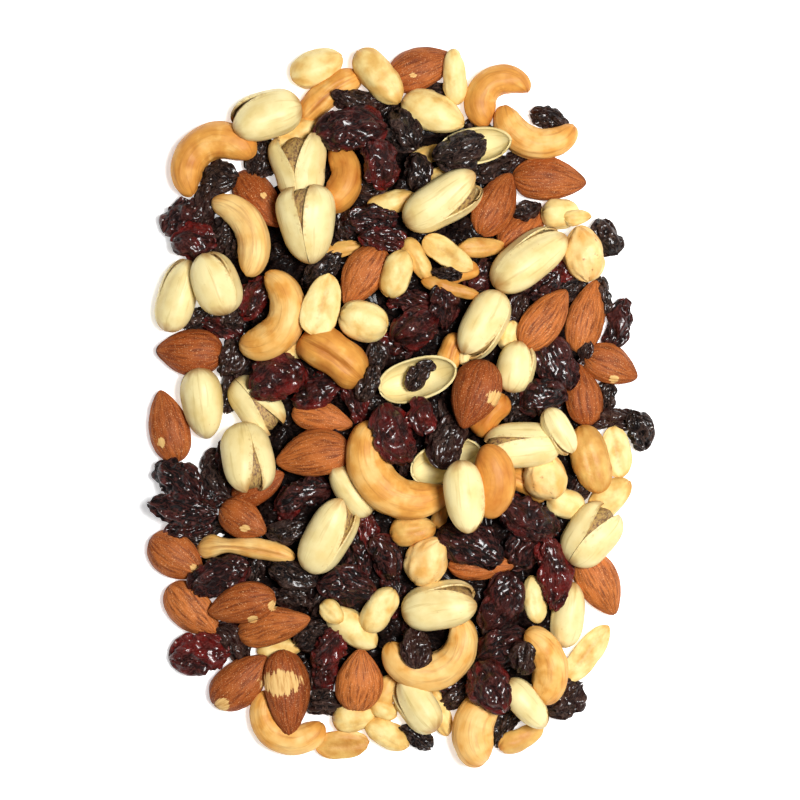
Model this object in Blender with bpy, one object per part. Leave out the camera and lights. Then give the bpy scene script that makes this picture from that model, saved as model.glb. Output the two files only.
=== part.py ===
# A heap of trail mix lying on a flat surface: nuts, raisins and dried cranberries, with no dish.
# Places and sizes are in millimetres, headings in degrees, and MM turns them to metres.
# Every piece is laid by its plan, then settles on what lies below it, from the lowest tier up.

import math
import random

import bmesh
import bpy
import numpy
from mathutils import Matrix, Vector

MM = 0.001
HEAP_SHIFT = (0.0, 0.0)
BED_HEIGHT = 10.0
CORE_DEPTH = 3.0
CORE_SHARE = 0.30
CORE_BLUR = 7.0
CORE_EDGE = 3.0
CORE_SEGMENTS = 36
CORE_RINGS = 10
FLOOR_SINK = 0.5
BITE = 1.5
STEEPEST = 0.30
CELL = 1.0
FIELD_HALF = (90.0, 125.0)
SNUG_SHARE = 0.94
SHOW_LEAST = 24
FACET_BUDGET = 10900
FACET_GAIN = (1.03, 1.05, 1.10)
SEED = 7

# The core's outline, inside the ring of pieces that lies on the surface
CORE_OUTLINE = (
    (54, 5), (56, 22), (57, 47), (35, 52), (31, 66), (31, 85), (0, 87), (-18, 84), (-29, 80),
    (-36, 68), (-52, 58), (-56, 42), (-50, 28), (-44, 14), (-42, 0), (-42, -16), (-54, -26),
    (-50, -40), (-64, -48), (-47, -66), (-32, -80), (-14, -86), (4, -82), (20, -82), (32, -90),
    (50, -80), (47, -60), (52, -44), (52, -28), (56, -10),
)

# x, y, heading of the tip, length, width, tier
ALMONDS = (
    (6.5, 102.5, 20, 21, 13, 1), (45.5, 68.5, -5, 22.5, 13.5, 1), (29, 61, 62, 21.5, 12.5, 3),
    (37.5, 54, 42, 19, 11, 1), (-43, 62.5, -52, 22, 12, 1), (-11, 39, 238, 21, 13, 2),
    (-64, 16.2, 178, 20.5, 14.5, 1), (-70.5, -6.5, 104, 22.5, 12.5, 1), (-23.5, -4, -12, 19, 9.5, 2),
    (-26.5, -15, 190, 23, 14.5, 3), (-43, -24.5, 25, 18, 11, 1), (-47.5, -34.7, -28, 16.5, 11.5, 3),
    (-68, -46.2, -35, 19.5, 13.5, 1), (-63, -62.5, -45, 21, 13, 1), (-48, -60.5, 195, 21.5, 12.5, 3),
    (-38.3, -67.3, 14, 24, 11.5, 2), (-48.5, -84, 42, 22, 14, 2), (-34.5, -87.5, -85, 26.5, 14, 3),
    (-12.5, -83.5, 85, 19.5, 14.5, 2), (24.5, -48.5, 0, 20, 9, 2), (60.5, -54.5, -62, 21, 13, 1),
    (55.8, 3, 98, 19, 11.5, 2), (64.3, 12, -25, 17.5, 12, 2), (56.8, 27, 74, 23, 12, 2),
    (43.8, 26, 52, 22, 12.5, 3), (22.3, 3.2, 252, 22, 15, 4),
)

# Cashews lying flat: centre of the bend x, y, bend radius, direction of the back, sweep, thickness, tier
CASHEWS = (
    (-54.5, 69.5, 10.5, 122, 186, 10, 1), (-57.5, 47.5, 13.7, 27, 128, 9.5, 4),
    (-25, 69.5, 9, -5, 150, 9.5, 1), (32, 91.5, 7.7, 130, 205, 9.5, 1), (43, 90.5, 11.3, 254, 155, 9.5, 2),
    (-44, 29, 10.5, -22, 190, 11, 3), (18, -22, 10.5, -2, 118, 12, 3), (4.5, -14, 14.7, 228, 168, 12.5, 3),
    (8, -70, 11, 292, 206, 10, 3), (-32.5, -92.5, 8.5, 240, 200, 7.5, 1), (33, -99.5, 11, 168, 118, 12.5, 2),
    (32, -81, 13.5, 12, 100, 11.5, 2),
)

# Cashews on end or on edge: x, y, heading, length, width, tier
CASHEW_BACKS = (
    (-21.5, 94.5, 38, 23, 9.5, 1), (-20, 14.7, -35, 23, 14, 3), (26.5, -2.5, 50, 15, 11, 3),
    (-47, -43.7, -5, 31, 7, 2), (17, 39.5, 20, 14, 7, 2), (38.5, -24, -30, 15, 8, 1),
    (15.5, 16, 70, 12, 8, 1),
)

# Pistachios in the shell: x, y, heading of the mouth, length, width, tier
PISTACHIOS = (
    (-39.5, 87.5, 195, 21.5, 14.5, 2), (-30.5, 71.5, 97, 20, 16, 2), (-28, 54.5, 95, 23.5, 17, 3),
    (12.3, 61, 30, 25.5, 15, 4), (38.5, 43.7, 40, 26.5, 15.5, 3), (-67.7, 33, 75, 22.5, 13.5, 2),
    (-55.5, 36.5, 110, 19.5, 15.5, 3), (25.3, 24.5, 242, 22, 14.5, 3), (35, 11.3, 75, 15.5, 13, 3),
    (57.5, -39.8, 52, 20.5, 15.5, 2), (37, -12, 2, 22.5, 14, 3), (19.2, -27, -83, 21.5, 14, 4),
    (-14.5, -26, 125, 18, 11.5, 2), (-60, 0.7, 98, 21.5, 14.5, 2), (-44, 0.3, -48, 20, 13, 1),
    (-46, -15.5, -78, 21.5, 16, 3), (-21.7, -39.8, 60, 24.5, 15, 4), (5.3, -91.3, 128, 19, 13, 3),
    (11.5, -60.5, 12, 22.5, 15.5, 4), (38, -90, -50, 18, 11, 3), (51, -64, 82, 20, 12, 2),
    (47.3, -7.7, -62, 15, 9, 4),
)

# Empty half shells, hollow side up: x, y, heading, length, width, tier
HALF_SHELLS = (
    (22.5, 77.3, 12, 22, 11.5, 2), (5.3, 8, 17, 24, 12.5, 3), (13.5, -17, 22, 22, 12, 2),
)

# Peanuts and peanut halves: x, y, heading, length, width, tier
PEANUTS = (
    (-25.3, 102.8, 22, 17, 11, 1), (-31.5, 82, 32, 16, 9, 1), (-6.5, 99.7, -52, 20.5, 11, 2),
    (16.5, 99.7, 95, 17, 7.5, 3), (10, 89, -22, 20.5, 12.5, 2), (8.5, 76, 20, 13, 6, 1),
    (14, 69, 10, 14, 7, 1), (-2.5, 61.5, 12, 16, 7, 2), (49, 58.3, 0, 12, 9.5, 1),
    (54, 57, 5, 9, 5, 1), (24.5, 47.7, 5, 15, 6.5, 2), (14.5, 45.5, -35, 18, 8, 3),
    (15.5, 35, -15, 19, 5, 2), (5.2, 44, -62, 14.5, 6.5, 3), (-1, 39.5, 72, 15, 9.5, 3),
    (-18.5, 47, 12, 14, 5, 1), (-23.5, 30.2, 74, 19.5, 11.5, 4), (-11, 25.3, -15, 15, 12.5, 3),
    (-33.5, 16.5, 0, 10, 7, 1), (33.5, 20.7, 80, 9.5, 7, 2), (19.5, 15, 80, 6, 4, 2),
    (57.8, -16.6, -74, 21.5, 12, 3), (66, -14.3, 98, 16, 9, 2), (64, -28, 42, 15.5, 10, 1),
    (50.3, -30, -15, 12, 9.5, 2), (4, -38, 10, 14, 9, 2), (12.3, -33.5, 70, 8, 5, 2),
    (-14.5, -68, -36, 18, 9, 2), (-6.3, -62, 55, 15.5, 9, 3), (-22, -61.5, -45, 8, 5, 2),
    (-36.5, -74.3, 8, 15, 6, 1), (-14, -95, 8, 13.5, 9.5, 1), (-17.6, -103.4, 6, 16.5, 9, 1),
    (-3.8, -100.3, -30, 15.5, 8.5, 1), (-5, -92.7, -20, 9, 6.5, 1), (11.5, -93.5, -65, 16, 7, 2),
    (37, -101.5, 25, 15, 7, 2), (57, -75.5, 52, 21, 8.5, 1), (40.7, -59, 97, 14.5, 7.5, 1),
)

# x, y, heading, length, width, tier
HAZELNUTS = (
    (55.8, 45.5, 100, 16.5, 12.8, 2), (43.8, -21.5, 110, 14.5, 13.5, 2), (8, -47.3, 60, 15, 13, 3),
)

# x, y, heading, length, width, tier
RAISINS = (
    (-42, 75, 70, 12, 10, 1), (-55, 69, 10, 12, 10, 1), (-12.5, 92.5, -8, 17, 8, 1),
    (1, 83, -60, 14, 12, 2), (5, 70.5, 80, 11, 9, 3), (-9, 66.5, 20, 10, 8, 1),
    (45.5, 87, -20, 12, 8, 1), (23.5, 85, 0, 8, 5, 1), (18.5, 77, 22, 16.5, 10, 4),
    (27, 72, 20, 15, 8, 1), (38.5, 59, 30, 9, 6, 1), (63, 51, -60, 12, 9.5, 1),
    (14, 39.5, -5, 10, 4, 3), (-23.5, 40.5, 38, 15, 8, 2), (-54, 52, 60, 13, 11, 1),
    (-50, 26.5, 30, 8, 7, 2), (-51, 15, 68, 14, 9, 1), (-7.5, 14.5, 80, 9.5, 6.5, 3),
    (-9.5, 6.5, 68, 11, 6.5, 3), (-8, -0.5, 20, 9, 7, 2), (7.2, 10.3, 53, 14, 7, 4),
    (36, 28.7, 80, 10, 6.5, 1), (50, 35.5, 20, 13, 7, 1), (56.3, 16, 70, 7, 4, 3),
    (34, 0, 80, 11, 9, 1), (63, 2.8, 80, 9, 6.5, 1), (65, -4.5, 0, 15, 7.5, 1),
    (72.7, -7.5, -70, 12.5, 8, 1), (14, -11, 72, 17, 10.5, 3), (3, -17, 80, 9, 7, 3),
    (11.5, -3.5, 80, 10, 6, 2), (-55.2, -23.4, -50, 12.5, 9.5, 1), (-34, -37.7, 10, 13, 8, 2),
    (-32.5, -51.3, -20, 15.5, 10, 2), (-43.5, -50, 80, 7, 5, 1), (-33, -58.5, -5, 14, 7, 1),
    (-51, -72, -50, 14, 9, 1), (-26, -69.5, 30, 13, 9, 1), (-23, -91, 0, 11.5, 9, 1),
    (5, -101, -35, 11.5, 7.5, 1), (5, -72, 88, 12, 9, 3), (37, -76, 80, 10, 8, 3),
    (32, -98, 60, 13.5, 7, 1), (49.9, -89.2, 35, 14, 11, 1), (-24, -60, 60, 9, 7, 1),
    (-17, 55, 90, 11, 7, 1),
)

# x, y, heading, length, width, tier
CRANBERRIES = (
    (-15, 83, 5, 21.5, 15, 3), (-6, 73, 105, 16, 12, 3), (-66, 57, 40, 14.5, 11.5, 1),
    (-62.5, 49.5, 0, 14, 11, 2), (-44.5, 32.5, 60, 14, 10, 2), (-54, 23.5, -18, 13, 8, 1),
    (-37, 8.2, 20, 18, 14.5, 3), (-25.5, 4, 15, 15, 10, 2), (-13.5, 0.5, -62, 14, 7.5, 2),
    (3, 31.5, 0, 14, 8, 2), (13, 29.5, 100, 14, 9, 3), (4.5, 23, 30, 15, 13, 3),
    (-2.5, 18, -20, 13, 8, 2), (-9, 56, 5, 17, 9, 2), (-5, 49.8, -10, 15, 8, 2),
    (48, 42, 50, 15, 9, 1), (43, 36, 35, 13, 7, 1), (24, 39, 60, 11, 9, 1),
    (66.6, 25.5, 72, 17.5, 8, 1), (47, 12.5, -65, 18, 13, 2), (43, 2, 15, 15, 12, 2),
    (-2, -9, -68, 19, 14, 4), (6.3, -3.3, 100, 11, 9, 5), (-67, -23.5, -35, 19, 10.5, 2),
    (-66, -31.7, -8, 21, 9.5, 2), (-64.5, -38, 5, 14, 6.5, 1), (-60, -27.5, -20, 13, 8, 1),
    (-53, -16, 88, 12, 7, 1), (-29, -27, 20, 17, 10, 2), (-34.5, -30, 80, 12, 8, 1),
    (-55, -52.3, 25, 20, 12, 2), (-61, -76, 8, 18.5, 12, 1), (-21.7, -74, 62, 14, 10.5, 2),
    (-23, -82.3, 75, 12, 8.5, 1), (-16, -54.5, -8, 17.5, 12, 3), (-12.5, -46, 100, 15, 9, 2),
    (-9, -38.5, 100, 13, 6.5, 2), (-4.5, -46, -62, 15, 10, 3), (-2.5, -55, -70, 11, 6, 2),
    (1, -64.5, 80, 10, 6, 2), (21.5, -42, -25, 21, 13.5, 3), (38.5, -34, -28, 20, 13.5, 2),
    (37.5, -43, 60, 15, 12, 1), (46, -50.5, -82, 23.5, 10.5, 3), (30.3, -59.5, 68, 19, 13, 2),
    (31.5, -73.5, 20, 16.5, 13.5, 2), (27.5, -85, -60, 17, 13.5, 3), (15, -84, 15, 14, 8, 1),
)

# How thick each kind is for its width, and the sides and rings of its rounded solid
KINDS = {
    "almond": (ALMONDS, 0.62, 6, 5),
    "cashew_back": (CASHEW_BACKS, 0.95, 6, 5),
    "pistachio": (PISTACHIOS, 0.85, 6, 5),
    "half_shell": (HALF_SHELLS, 0.60, 8, 6),
    "peanut": (PEANUTS, 0.85, 6, 4),
    "hazelnut": (HAZELNUTS, 0.95, 6, 5),
    "raisin": (RAISINS, 0.75, 5, 4),
    "cranberry": (CRANBERRIES, 0.66, 5, 4),
}
CASHEW_SIDES = 6
CASHEW_RINGS = 7


def clear_scene():
    for item in list(bpy.data.objects):
        bpy.data.objects.remove(item, do_unlink=True)


def new_collection(name):
    collection = bpy.data.collections.new(name)
    bpy.context.scene.collection.children.link(collection)
    return collection


def food_material(name, colour, roughness):
    material = bpy.data.materials.new(name)
    material.use_nodes = True
    surface = material.node_tree.nodes["Principled BSDF"]
    surface.inputs["Base Color"].default_value = (*colour, 1.0)
    surface.inputs["Roughness"].default_value = roughness
    surface.inputs["Metallic"].default_value = 0.0
    return material


# Outline of the core

def core_reach(bearing):
    """Distance from the middle to the core's outline in one direction."""
    best = 0.0
    for (ax, ay), (bx, by) in zip(CORE_OUTLINE, CORE_OUTLINE[1:] + CORE_OUTLINE[:1]):
        ux, uy = math.cos(bearing), math.sin(bearing)
        ex, ey = bx - ax, by - ay
        cross = ux * ey - uy * ex
        if abs(cross) < 1e-9:
            continue
        reach = (ax * ey - ay * ex) / cross
        along = (ax * uy - ay * ux) / cross
        if 0.0 <= along <= 1.0 and reach > best:
            best = reach
    return best


def bed_top(share):
    """Height of the bed below the pieces, where share runs from 0 at the middle to 1 at the outline."""
    if share >= 1.0:
        return 0.0
    return BED_HEIGHT * (1.0 - share ** 2.6) ** 0.6


# Height field that the pieces settle on

def make_field():
    columns = numpy.arange(-FIELD_HALF[0], FIELD_HALF[0] + CELL, CELL)
    rows = numpy.arange(-FIELD_HALF[1], FIELD_HALF[1] + CELL, CELL)
    across, along = numpy.meshgrid(columns, rows)
    height = numpy.zeros_like(across)
    reach_table = [core_reach(math.radians(step)) for step in range(360)]
    for index in numpy.ndindex(across.shape):
        bearing = math.degrees(math.atan2(along[index], across[index])) % 360.0
        reach = reach_table[int(bearing) % 360]
        height[index] = bed_top(math.hypot(across[index], along[index]) / reach)
    return across, along, height, numpy.full(across.shape, -1)


def oval_cover(field, piece):
    """Squared distance from the piece's middle, 1 on its outline."""
    turn = math.radians(piece["heading"])
    dx = field[0] - piece["x"]
    dy = field[1] - piece["y"]
    lengthwise = dx * math.cos(turn) + dy * math.sin(turn)
    sideways = -dx * math.sin(turn) + dy * math.cos(turn)
    return (2.0 * lengthwise / piece["length"]) ** 2 + (2.0 * sideways / piece["width"]) ** 2


def bend_cover(field, piece):
    """The same for a piece bent round a centre."""
    dx = field[0] - piece["bend_x"]
    dy = field[1] - piece["bend_y"]
    bearing = numpy.degrees(numpy.arctan2(dy, dx)) - piece["back"]
    bearing = (bearing + 180.0) % 360.0 - 180.0
    across = (numpy.hypot(dx, dy) - piece["radius"]) / (piece["thick"] / 2.0)
    return across ** 2 + numpy.abs(bearing / (piece["sweep"] / 2.0)) ** 5


def settle(field, piece, number):
    """Lay the piece on the field, sloped like what it rests on, and raise the field to its top."""
    cover = bend_cover(field, piece) if piece["kind"] == "cashew" else oval_cover(field, piece)
    inside = cover < 1.0
    half = piece["thick"] / 2.0
    bulge = half * numpy.sqrt(1.0 - cover[inside])
    dx = field[0][inside] - piece["x"]
    dy = field[1][inside] - piece["y"]
    ground = field[2][inside]
    plane = numpy.column_stack((dx, dy, numpy.ones_like(dx)))
    slope_x, slope_y, _ = numpy.linalg.lstsq(plane, ground, rcond=None)[0]
    steepness = math.hypot(slope_x, slope_y)
    if steepness > STEEPEST:
        slope_x *= STEEPEST / steepness
        slope_y *= STEEPEST / steepness
    sloped = slope_x * dx + slope_y * dy
    lift = float(numpy.quantile(ground - sloped + bulge, SNUG_SHARE)) - BITE
    lift = max(lift, half - FLOOR_SINK)
    top = lift + sloped + bulge
    if piece["kind"] == "half_shell":
        top = lift + sloped - 0.3 * bulge
    field[3][inside] = numpy.where(top > ground, number, field[3][inside])
    field[2][inside] = numpy.maximum(ground, top)
    piece["z"] = lift
    piece["slope"] = (slope_x, slope_y)


# Solids of the pieces, each a ball pulled to shape, its poles at the two ends

def almond_point(u, v, w, piece, draw):
    taper = 1.0 - 0.20 * u - 0.22 * max(u, 0.0) ** 2
    return (u * piece["length"] / 2.0, v * taper * piece["width"] / 2.0, w * taper * piece["thick"] / 2.0)


def blunt_point(u, v, w, piece, draw):
    ring = math.hypot(v, w)
    swell = 1.0 if ring < 1e-6 else (1.0 - u ** 4) ** 0.5 / ring
    swell = min(swell, 1.25)
    return (
        u * piece["length"] / 2.0,
        v * swell * piece["width"] / 2.0,
        w * swell * piece["thick"] / 2.0,
    )


def shell_point(u, v, w, piece, draw):
    taper = 1.0 - 0.10 * u
    return (u * piece["length"] / 2.0, v * taper * piece["width"] / 2.0, w * taper * piece["thick"] / 2.0)


def dish_point(u, v, w, piece, draw):
    depth = w if w < 0.15 else -0.62 * w
    return (u * piece["length"] / 2.0, v * piece["width"] / 2.0, depth * piece["thick"] / 2.0)


def dried_point(u, v, w, piece, draw):
    pull = 1.0 + draw.uniform(-0.10, 0.08)
    return (
        u * pull * piece["length"] / 2.0,
        v * pull * piece["width"] / 2.0,
        w * pull * piece["thick"] / 2.0,
    )


def cashew_point(u, v, w, piece, draw):
    ring = math.hypot(v, w)
    swell = 1.0 if ring < 1e-6 else min((1.0 - u ** 4) ** 0.5 / ring, 1.3)
    bearing = math.radians(piece["back"] + u * piece["sweep"] / 2.0)
    reach = piece["radius"] + v * swell * piece["thick"] / 2.0
    return (
        piece["bend_x"] + reach * math.cos(bearing) - piece["x"],
        piece["bend_y"] + reach * math.sin(bearing) - piece["y"],
        w * swell * piece["thick"] / 2.0,
    )


POINT_OF = {
    "almond": almond_point,
    "cashew": cashew_point,
    "cashew_back": blunt_point,
    "pistachio": shell_point,
    "half_shell": dish_point,
    "peanut": blunt_point,
    "hazelnut": shell_point,
    "raisin": dried_point,
    "cranberry": dried_point,
}


def piece_object(piece, number, collection):
    draw = random.Random(SEED * 1000 + number)
    shape = bmesh.new()
    bmesh.ops.create_uvsphere(
        shape, u_segments=piece["sides"], v_segments=piece["rings"], radius=1.0
    )
    point_of = POINT_OF[piece["kind"]]
    for vertex in shape.verts:
        v, w, u = vertex.co
        vertex.co = Vector(point_of(u, v, w, piece, draw)) * Vector(FACET_GAIN)
    slope_x, slope_y = piece["slope"]
    upright = Vector((-slope_x, -slope_y, 1.0)).normalized()
    lean = Vector((0.0, 0.0, 1.0)).rotation_difference(upright).to_matrix().to_4x4()
    turn = Matrix.Rotation(math.radians(piece["heading"]), 4, "Z")
    place = Matrix.Translation((piece["x"], piece["y"], piece["z"]))
    bmesh.ops.transform(shape, matrix=Matrix.Scale(MM, 4) @ place @ lean @ turn, verts=shape.verts)
    bmesh.ops.recalc_face_normals(shape, faces=shape.faces)
    bmesh.ops.triangulate(shape, faces=shape.faces)
    mesh = bpy.data.meshes.new(piece["kind"])
    shape.to_mesh(mesh)
    shape.free()
    item = bpy.data.objects.new(f"{piece['kind']}_{number}", mesh)
    collection.objects.link(item)


def all_pieces():
    """Every piece as a dictionary, the lowest tier first."""
    pieces = []
    for kind, (rows, thickness, sides, rings) in KINDS.items():
        for x, y, heading, length, width, tier in rows:
            pieces.append({
                "kind": kind, "x": x, "y": y, "heading": heading, "length": length,
                "width": width, "thick": width * thickness, "tier": tier,
                "sides": sides, "rings": rings,
            })
    for bend_x, bend_y, radius, back, sweep, thick, tier in CASHEWS:
        middle = math.radians(back)
        pieces.append({
            "kind": "cashew", "bend_x": bend_x, "bend_y": bend_y, "radius": radius, "back": back,
            "sweep": sweep, "thick": thick, "tier": tier, "heading": 0.0,
            "x": bend_x + 0.7 * radius * math.cos(middle),
            "y": bend_y + 0.7 * radius * math.sin(middle),
            "sides": CASHEW_SIDES, "rings": CASHEW_RINGS,
        })
    pieces.sort(key=lambda piece: piece["tier"])
    return pieces


def core_top(field, x, y, share):
    """The core fills the heap to a little below the gaps between the pieces round a point."""
    near = numpy.hypot(field[0] - x, field[1] - y) < CORE_BLUR
    filled = float(numpy.quantile(field[2][near], CORE_SHARE)) - CORE_DEPTH
    return CORE_EDGE + max(filled - CORE_EDGE, 0.0) * (1.0 - share ** 12)


def core_object(field, collection):
    """A low dome whose rings keep the shape of the core's outline."""
    shape = bmesh.new()
    bmesh.ops.create_uvsphere(shape, u_segments=CORE_SEGMENTS, v_segments=CORE_RINGS, radius=1.0)
    for vertex in shape.verts:
        share = min(math.hypot(vertex.co.x, vertex.co.y), 1.0)
        bearing = math.atan2(vertex.co.y, vertex.co.x)
        reach = core_reach(bearing) * share
        x, y = reach * math.cos(bearing), reach * math.sin(bearing)
        height = core_top(field, x, y, share) if vertex.co.z > -1e-6 else -CORE_EDGE
        vertex.co = Vector((x, y, height)) * MM
    bmesh.ops.recalc_face_normals(shape, faces=shape.faces)
    bmesh.ops.triangulate(shape, faces=shape.faces)
    mesh = bpy.data.meshes.new("trail_mix_heap")
    shape.to_mesh(mesh)
    shape.free()
    core = bpy.data.objects.new("trail_mix_heap", mesh)
    collection.objects.link(core)
    return core


def floor_cutter(collection):
    """A slab below the surface that the heap lies on."""
    shape = bmesh.new()
    bmesh.ops.create_cube(shape, size=1.0)
    slab = (2.0 * FIELD_HALF[0] * MM, 2.0 * FIELD_HALF[1] * MM, 20.0 * MM)
    for vertex in shape.verts:
        vertex.co = Vector((vertex.co.x * slab[0], vertex.co.y * slab[1], (vertex.co.z - 0.5) * slab[2]))
    mesh = bpy.data.meshes.new("floor_cutter")
    shape.to_mesh(mesh)
    shape.free()
    cutter = bpy.data.objects.new("floor_cutter", mesh)
    cutter.hide_render = True
    cutter.display_type = "WIRE"
    collection.objects.link(cutter)
    return cutter


def apply_modifiers(item):
    bpy.context.view_layer.update()
    evaluated = item.evaluated_get(bpy.context.evaluated_depsgraph_get())
    finished = bpy.data.meshes.new_from_object(evaluated)
    item.modifiers.clear()
    item.data = finished


def keep_outer_shell(item):
    """Drop scraps and the walls of hollows that fusing has sealed."""
    shape = bmesh.new()
    shape.from_mesh(item.data)
    bmesh.ops.triangulate(shape, faces=shape.faces)
    unseen = set(shape.faces)
    shells = []
    while unseen:
        first = unseen.pop()
        shell = {first}
        front = [first]
        while front:
            face = front.pop()
            for edge in face.edges:
                for neighbour in edge.link_faces:
                    if neighbour in unseen:
                        unseen.discard(neighbour)
                        shell.add(neighbour)
                        front.append(neighbour)
        shells.append(shell)
    shells.sort(key=len, reverse=True)
    print("shells", [len(shell) for shell in shells][:12])
    spare = [face for shell in shells[1:] for face in shell]
    bmesh.ops.delete(shape, geom=spare, context="FACES")
    for vertex in shape.verts:
        vertex.co += Vector((HEAP_SHIFT[0], HEAP_SHIFT[1], 0.0)) * MM
    shape.to_mesh(item.data)
    shape.free()


def main():
    clear_scene()
    heap_collection = new_collection("heap_of_trail_mix")
    piece_collection = new_collection("pieces_to_fuse")
    cutter_collection = new_collection("cutters")
    field = make_field()
    pieces = all_pieces()
    for number, piece in enumerate(pieces):
        settle(field, piece, number)
    for number, piece in enumerate(pieces):
        if numpy.count_nonzero(field[3] == number) >= SHOW_LEAST:
            piece_object(piece, number, piece_collection)
    print("pieces fused on", len(piece_collection.objects), "of", len(pieces))
    heap = core_object(field, heap_collection)
    fuse = heap.modifiers.new("fuse_pieces", "BOOLEAN")
    fuse.operation = "UNION"
    fuse.operand_type = "COLLECTION"
    fuse.collection = piece_collection
    fuse.solver = "MANIFOLD"
    apply_modifiers(heap)
    facets = sum(len(face.vertices) - 2 for face in heap.data.polygons)
    thin = heap.modifiers.new("drop_slivers", "DECIMATE")
    thin.ratio = min(FACET_BUDGET / facets, 1.0)
    level = heap.modifiers.new("level_underside", "BOOLEAN")
    level.operation = "DIFFERENCE"
    level.object = floor_cutter(cutter_collection)
    level.solver = "MANIFOLD"
    apply_modifiers(heap)
    for item in list(piece_collection.objects):
        bpy.data.objects.remove(item, do_unlink=True)
    keep_outer_shell(heap)
    heap.data.materials.clear()
    heap.data.materials.append(food_material("roasted_nuts_and_fruit", (0.52, 0.33, 0.13), 0.55))


main()
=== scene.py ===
# A heap of trail mix on a pale surface, seen from straight above.
# Places and sizes below are millimetres and degrees, and turn to metres where a mesh is made.

import math
import random

import bmesh
import bpy
import numpy as np
from mathutils import Matrix, Vector


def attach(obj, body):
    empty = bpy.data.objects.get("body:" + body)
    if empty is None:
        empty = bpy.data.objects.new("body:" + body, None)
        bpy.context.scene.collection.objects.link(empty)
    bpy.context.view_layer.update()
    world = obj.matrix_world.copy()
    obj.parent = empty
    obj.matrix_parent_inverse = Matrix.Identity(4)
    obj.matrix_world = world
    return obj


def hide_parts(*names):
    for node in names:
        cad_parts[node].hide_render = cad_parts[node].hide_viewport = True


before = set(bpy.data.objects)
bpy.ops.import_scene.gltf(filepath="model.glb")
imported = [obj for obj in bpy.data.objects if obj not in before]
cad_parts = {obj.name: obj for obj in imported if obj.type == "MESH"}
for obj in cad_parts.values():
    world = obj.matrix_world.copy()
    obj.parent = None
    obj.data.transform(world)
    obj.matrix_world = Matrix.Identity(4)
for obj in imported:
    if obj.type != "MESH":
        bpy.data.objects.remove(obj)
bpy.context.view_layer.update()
heapNode = "trail_mix_heap"
mm = 0.001
print("frame loaded")


# Colours and nodes

def toLinear(hexText):
    # sRGB hex to the linear colour that the shaders read
    channels = [int(hexText[i:i + 2], 16) / 255.0 for i in (1, 3, 5)]
    linear = [c / 12.92 if c <= 0.04045 else ((c + 0.055) / 1.055) ** 2.4 for c in channels]
    return (*linear, 1.0)


def addNode(tree, kind, inputs=None, **settings):
    # one node with its settings; a socket given as an input is linked, anything else is its value
    node = tree.nodes.new(kind)
    for name, value in settings.items():
        setattr(node, name, value)
    for name, value in (inputs or {}).items():
        if isinstance(name, int):
            socket = node.inputs[name]
        else:
            socket = next(s for s in node.inputs if name in (s.identifier, s.name))
        if isinstance(value, bpy.types.NodeSocket):
            tree.links.new(value, socket)
        else:
            socket.default_value = value
    return node


def newMaterial(name, *reads):
    # a material and its sockets for what it reads of the mesh: grain is millimetres along and round the
    # piece, tone differs from piece to piece, along runs from base to tip (on dried fruit it is the thin
    # rim), crest is high on folds, and mark is torn skin on almonds, seams on cashews and peanuts, and
    # lips on shells
    material = bpy.data.materials.new(name)
    material.use_nodes = True
    tree = material.node_tree
    sockets = []
    for label in reads:
        attribute = addNode(tree, "ShaderNodeAttribute", attribute_name=label)
        sockets.append(attribute.outputs["Vector" if label == "grain" else "Fac"])
    return (material, tree, tree.nodes["Principled BSDF"], *sockets)


def finishSurface(tree, shader, look, under, layers, height):
    # each layer's colour, a hex or a socket, covers the ones before it by its share; bump follows height
    colour = toLinear(under)
    for share, over in layers:
        top = toLinear(over) if isinstance(over, str) else over
        mixed = addNode(tree, "ShaderNodeMix", {
            "Factor_Float": share, "A_Color": colour, "B_Color": top,
        }, data_type="RGBA")
        colour = mixed.outputs[2]
    bump = addNode(tree, "ShaderNodeBump", {"Strength": 1.0, "Distance": look["bump"] * mm, "Height": height})
    tree.links.new(colour, shader.inputs["Base Color"])
    tree.links.new(bump.outputs["Normal"], shader.inputs["Normal"])
    shader.inputs["Roughness"].default_value = look["roughness"]
    shader.inputs["Specular IOR Level"].default_value = look["specular"]


# In the looks below a Size or Pitch is in millimetres, bump is a depth in millimetres, and a Streak is the
# share of its scale that a pattern keeps along the piece, so that a small one draws long streaks

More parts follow.
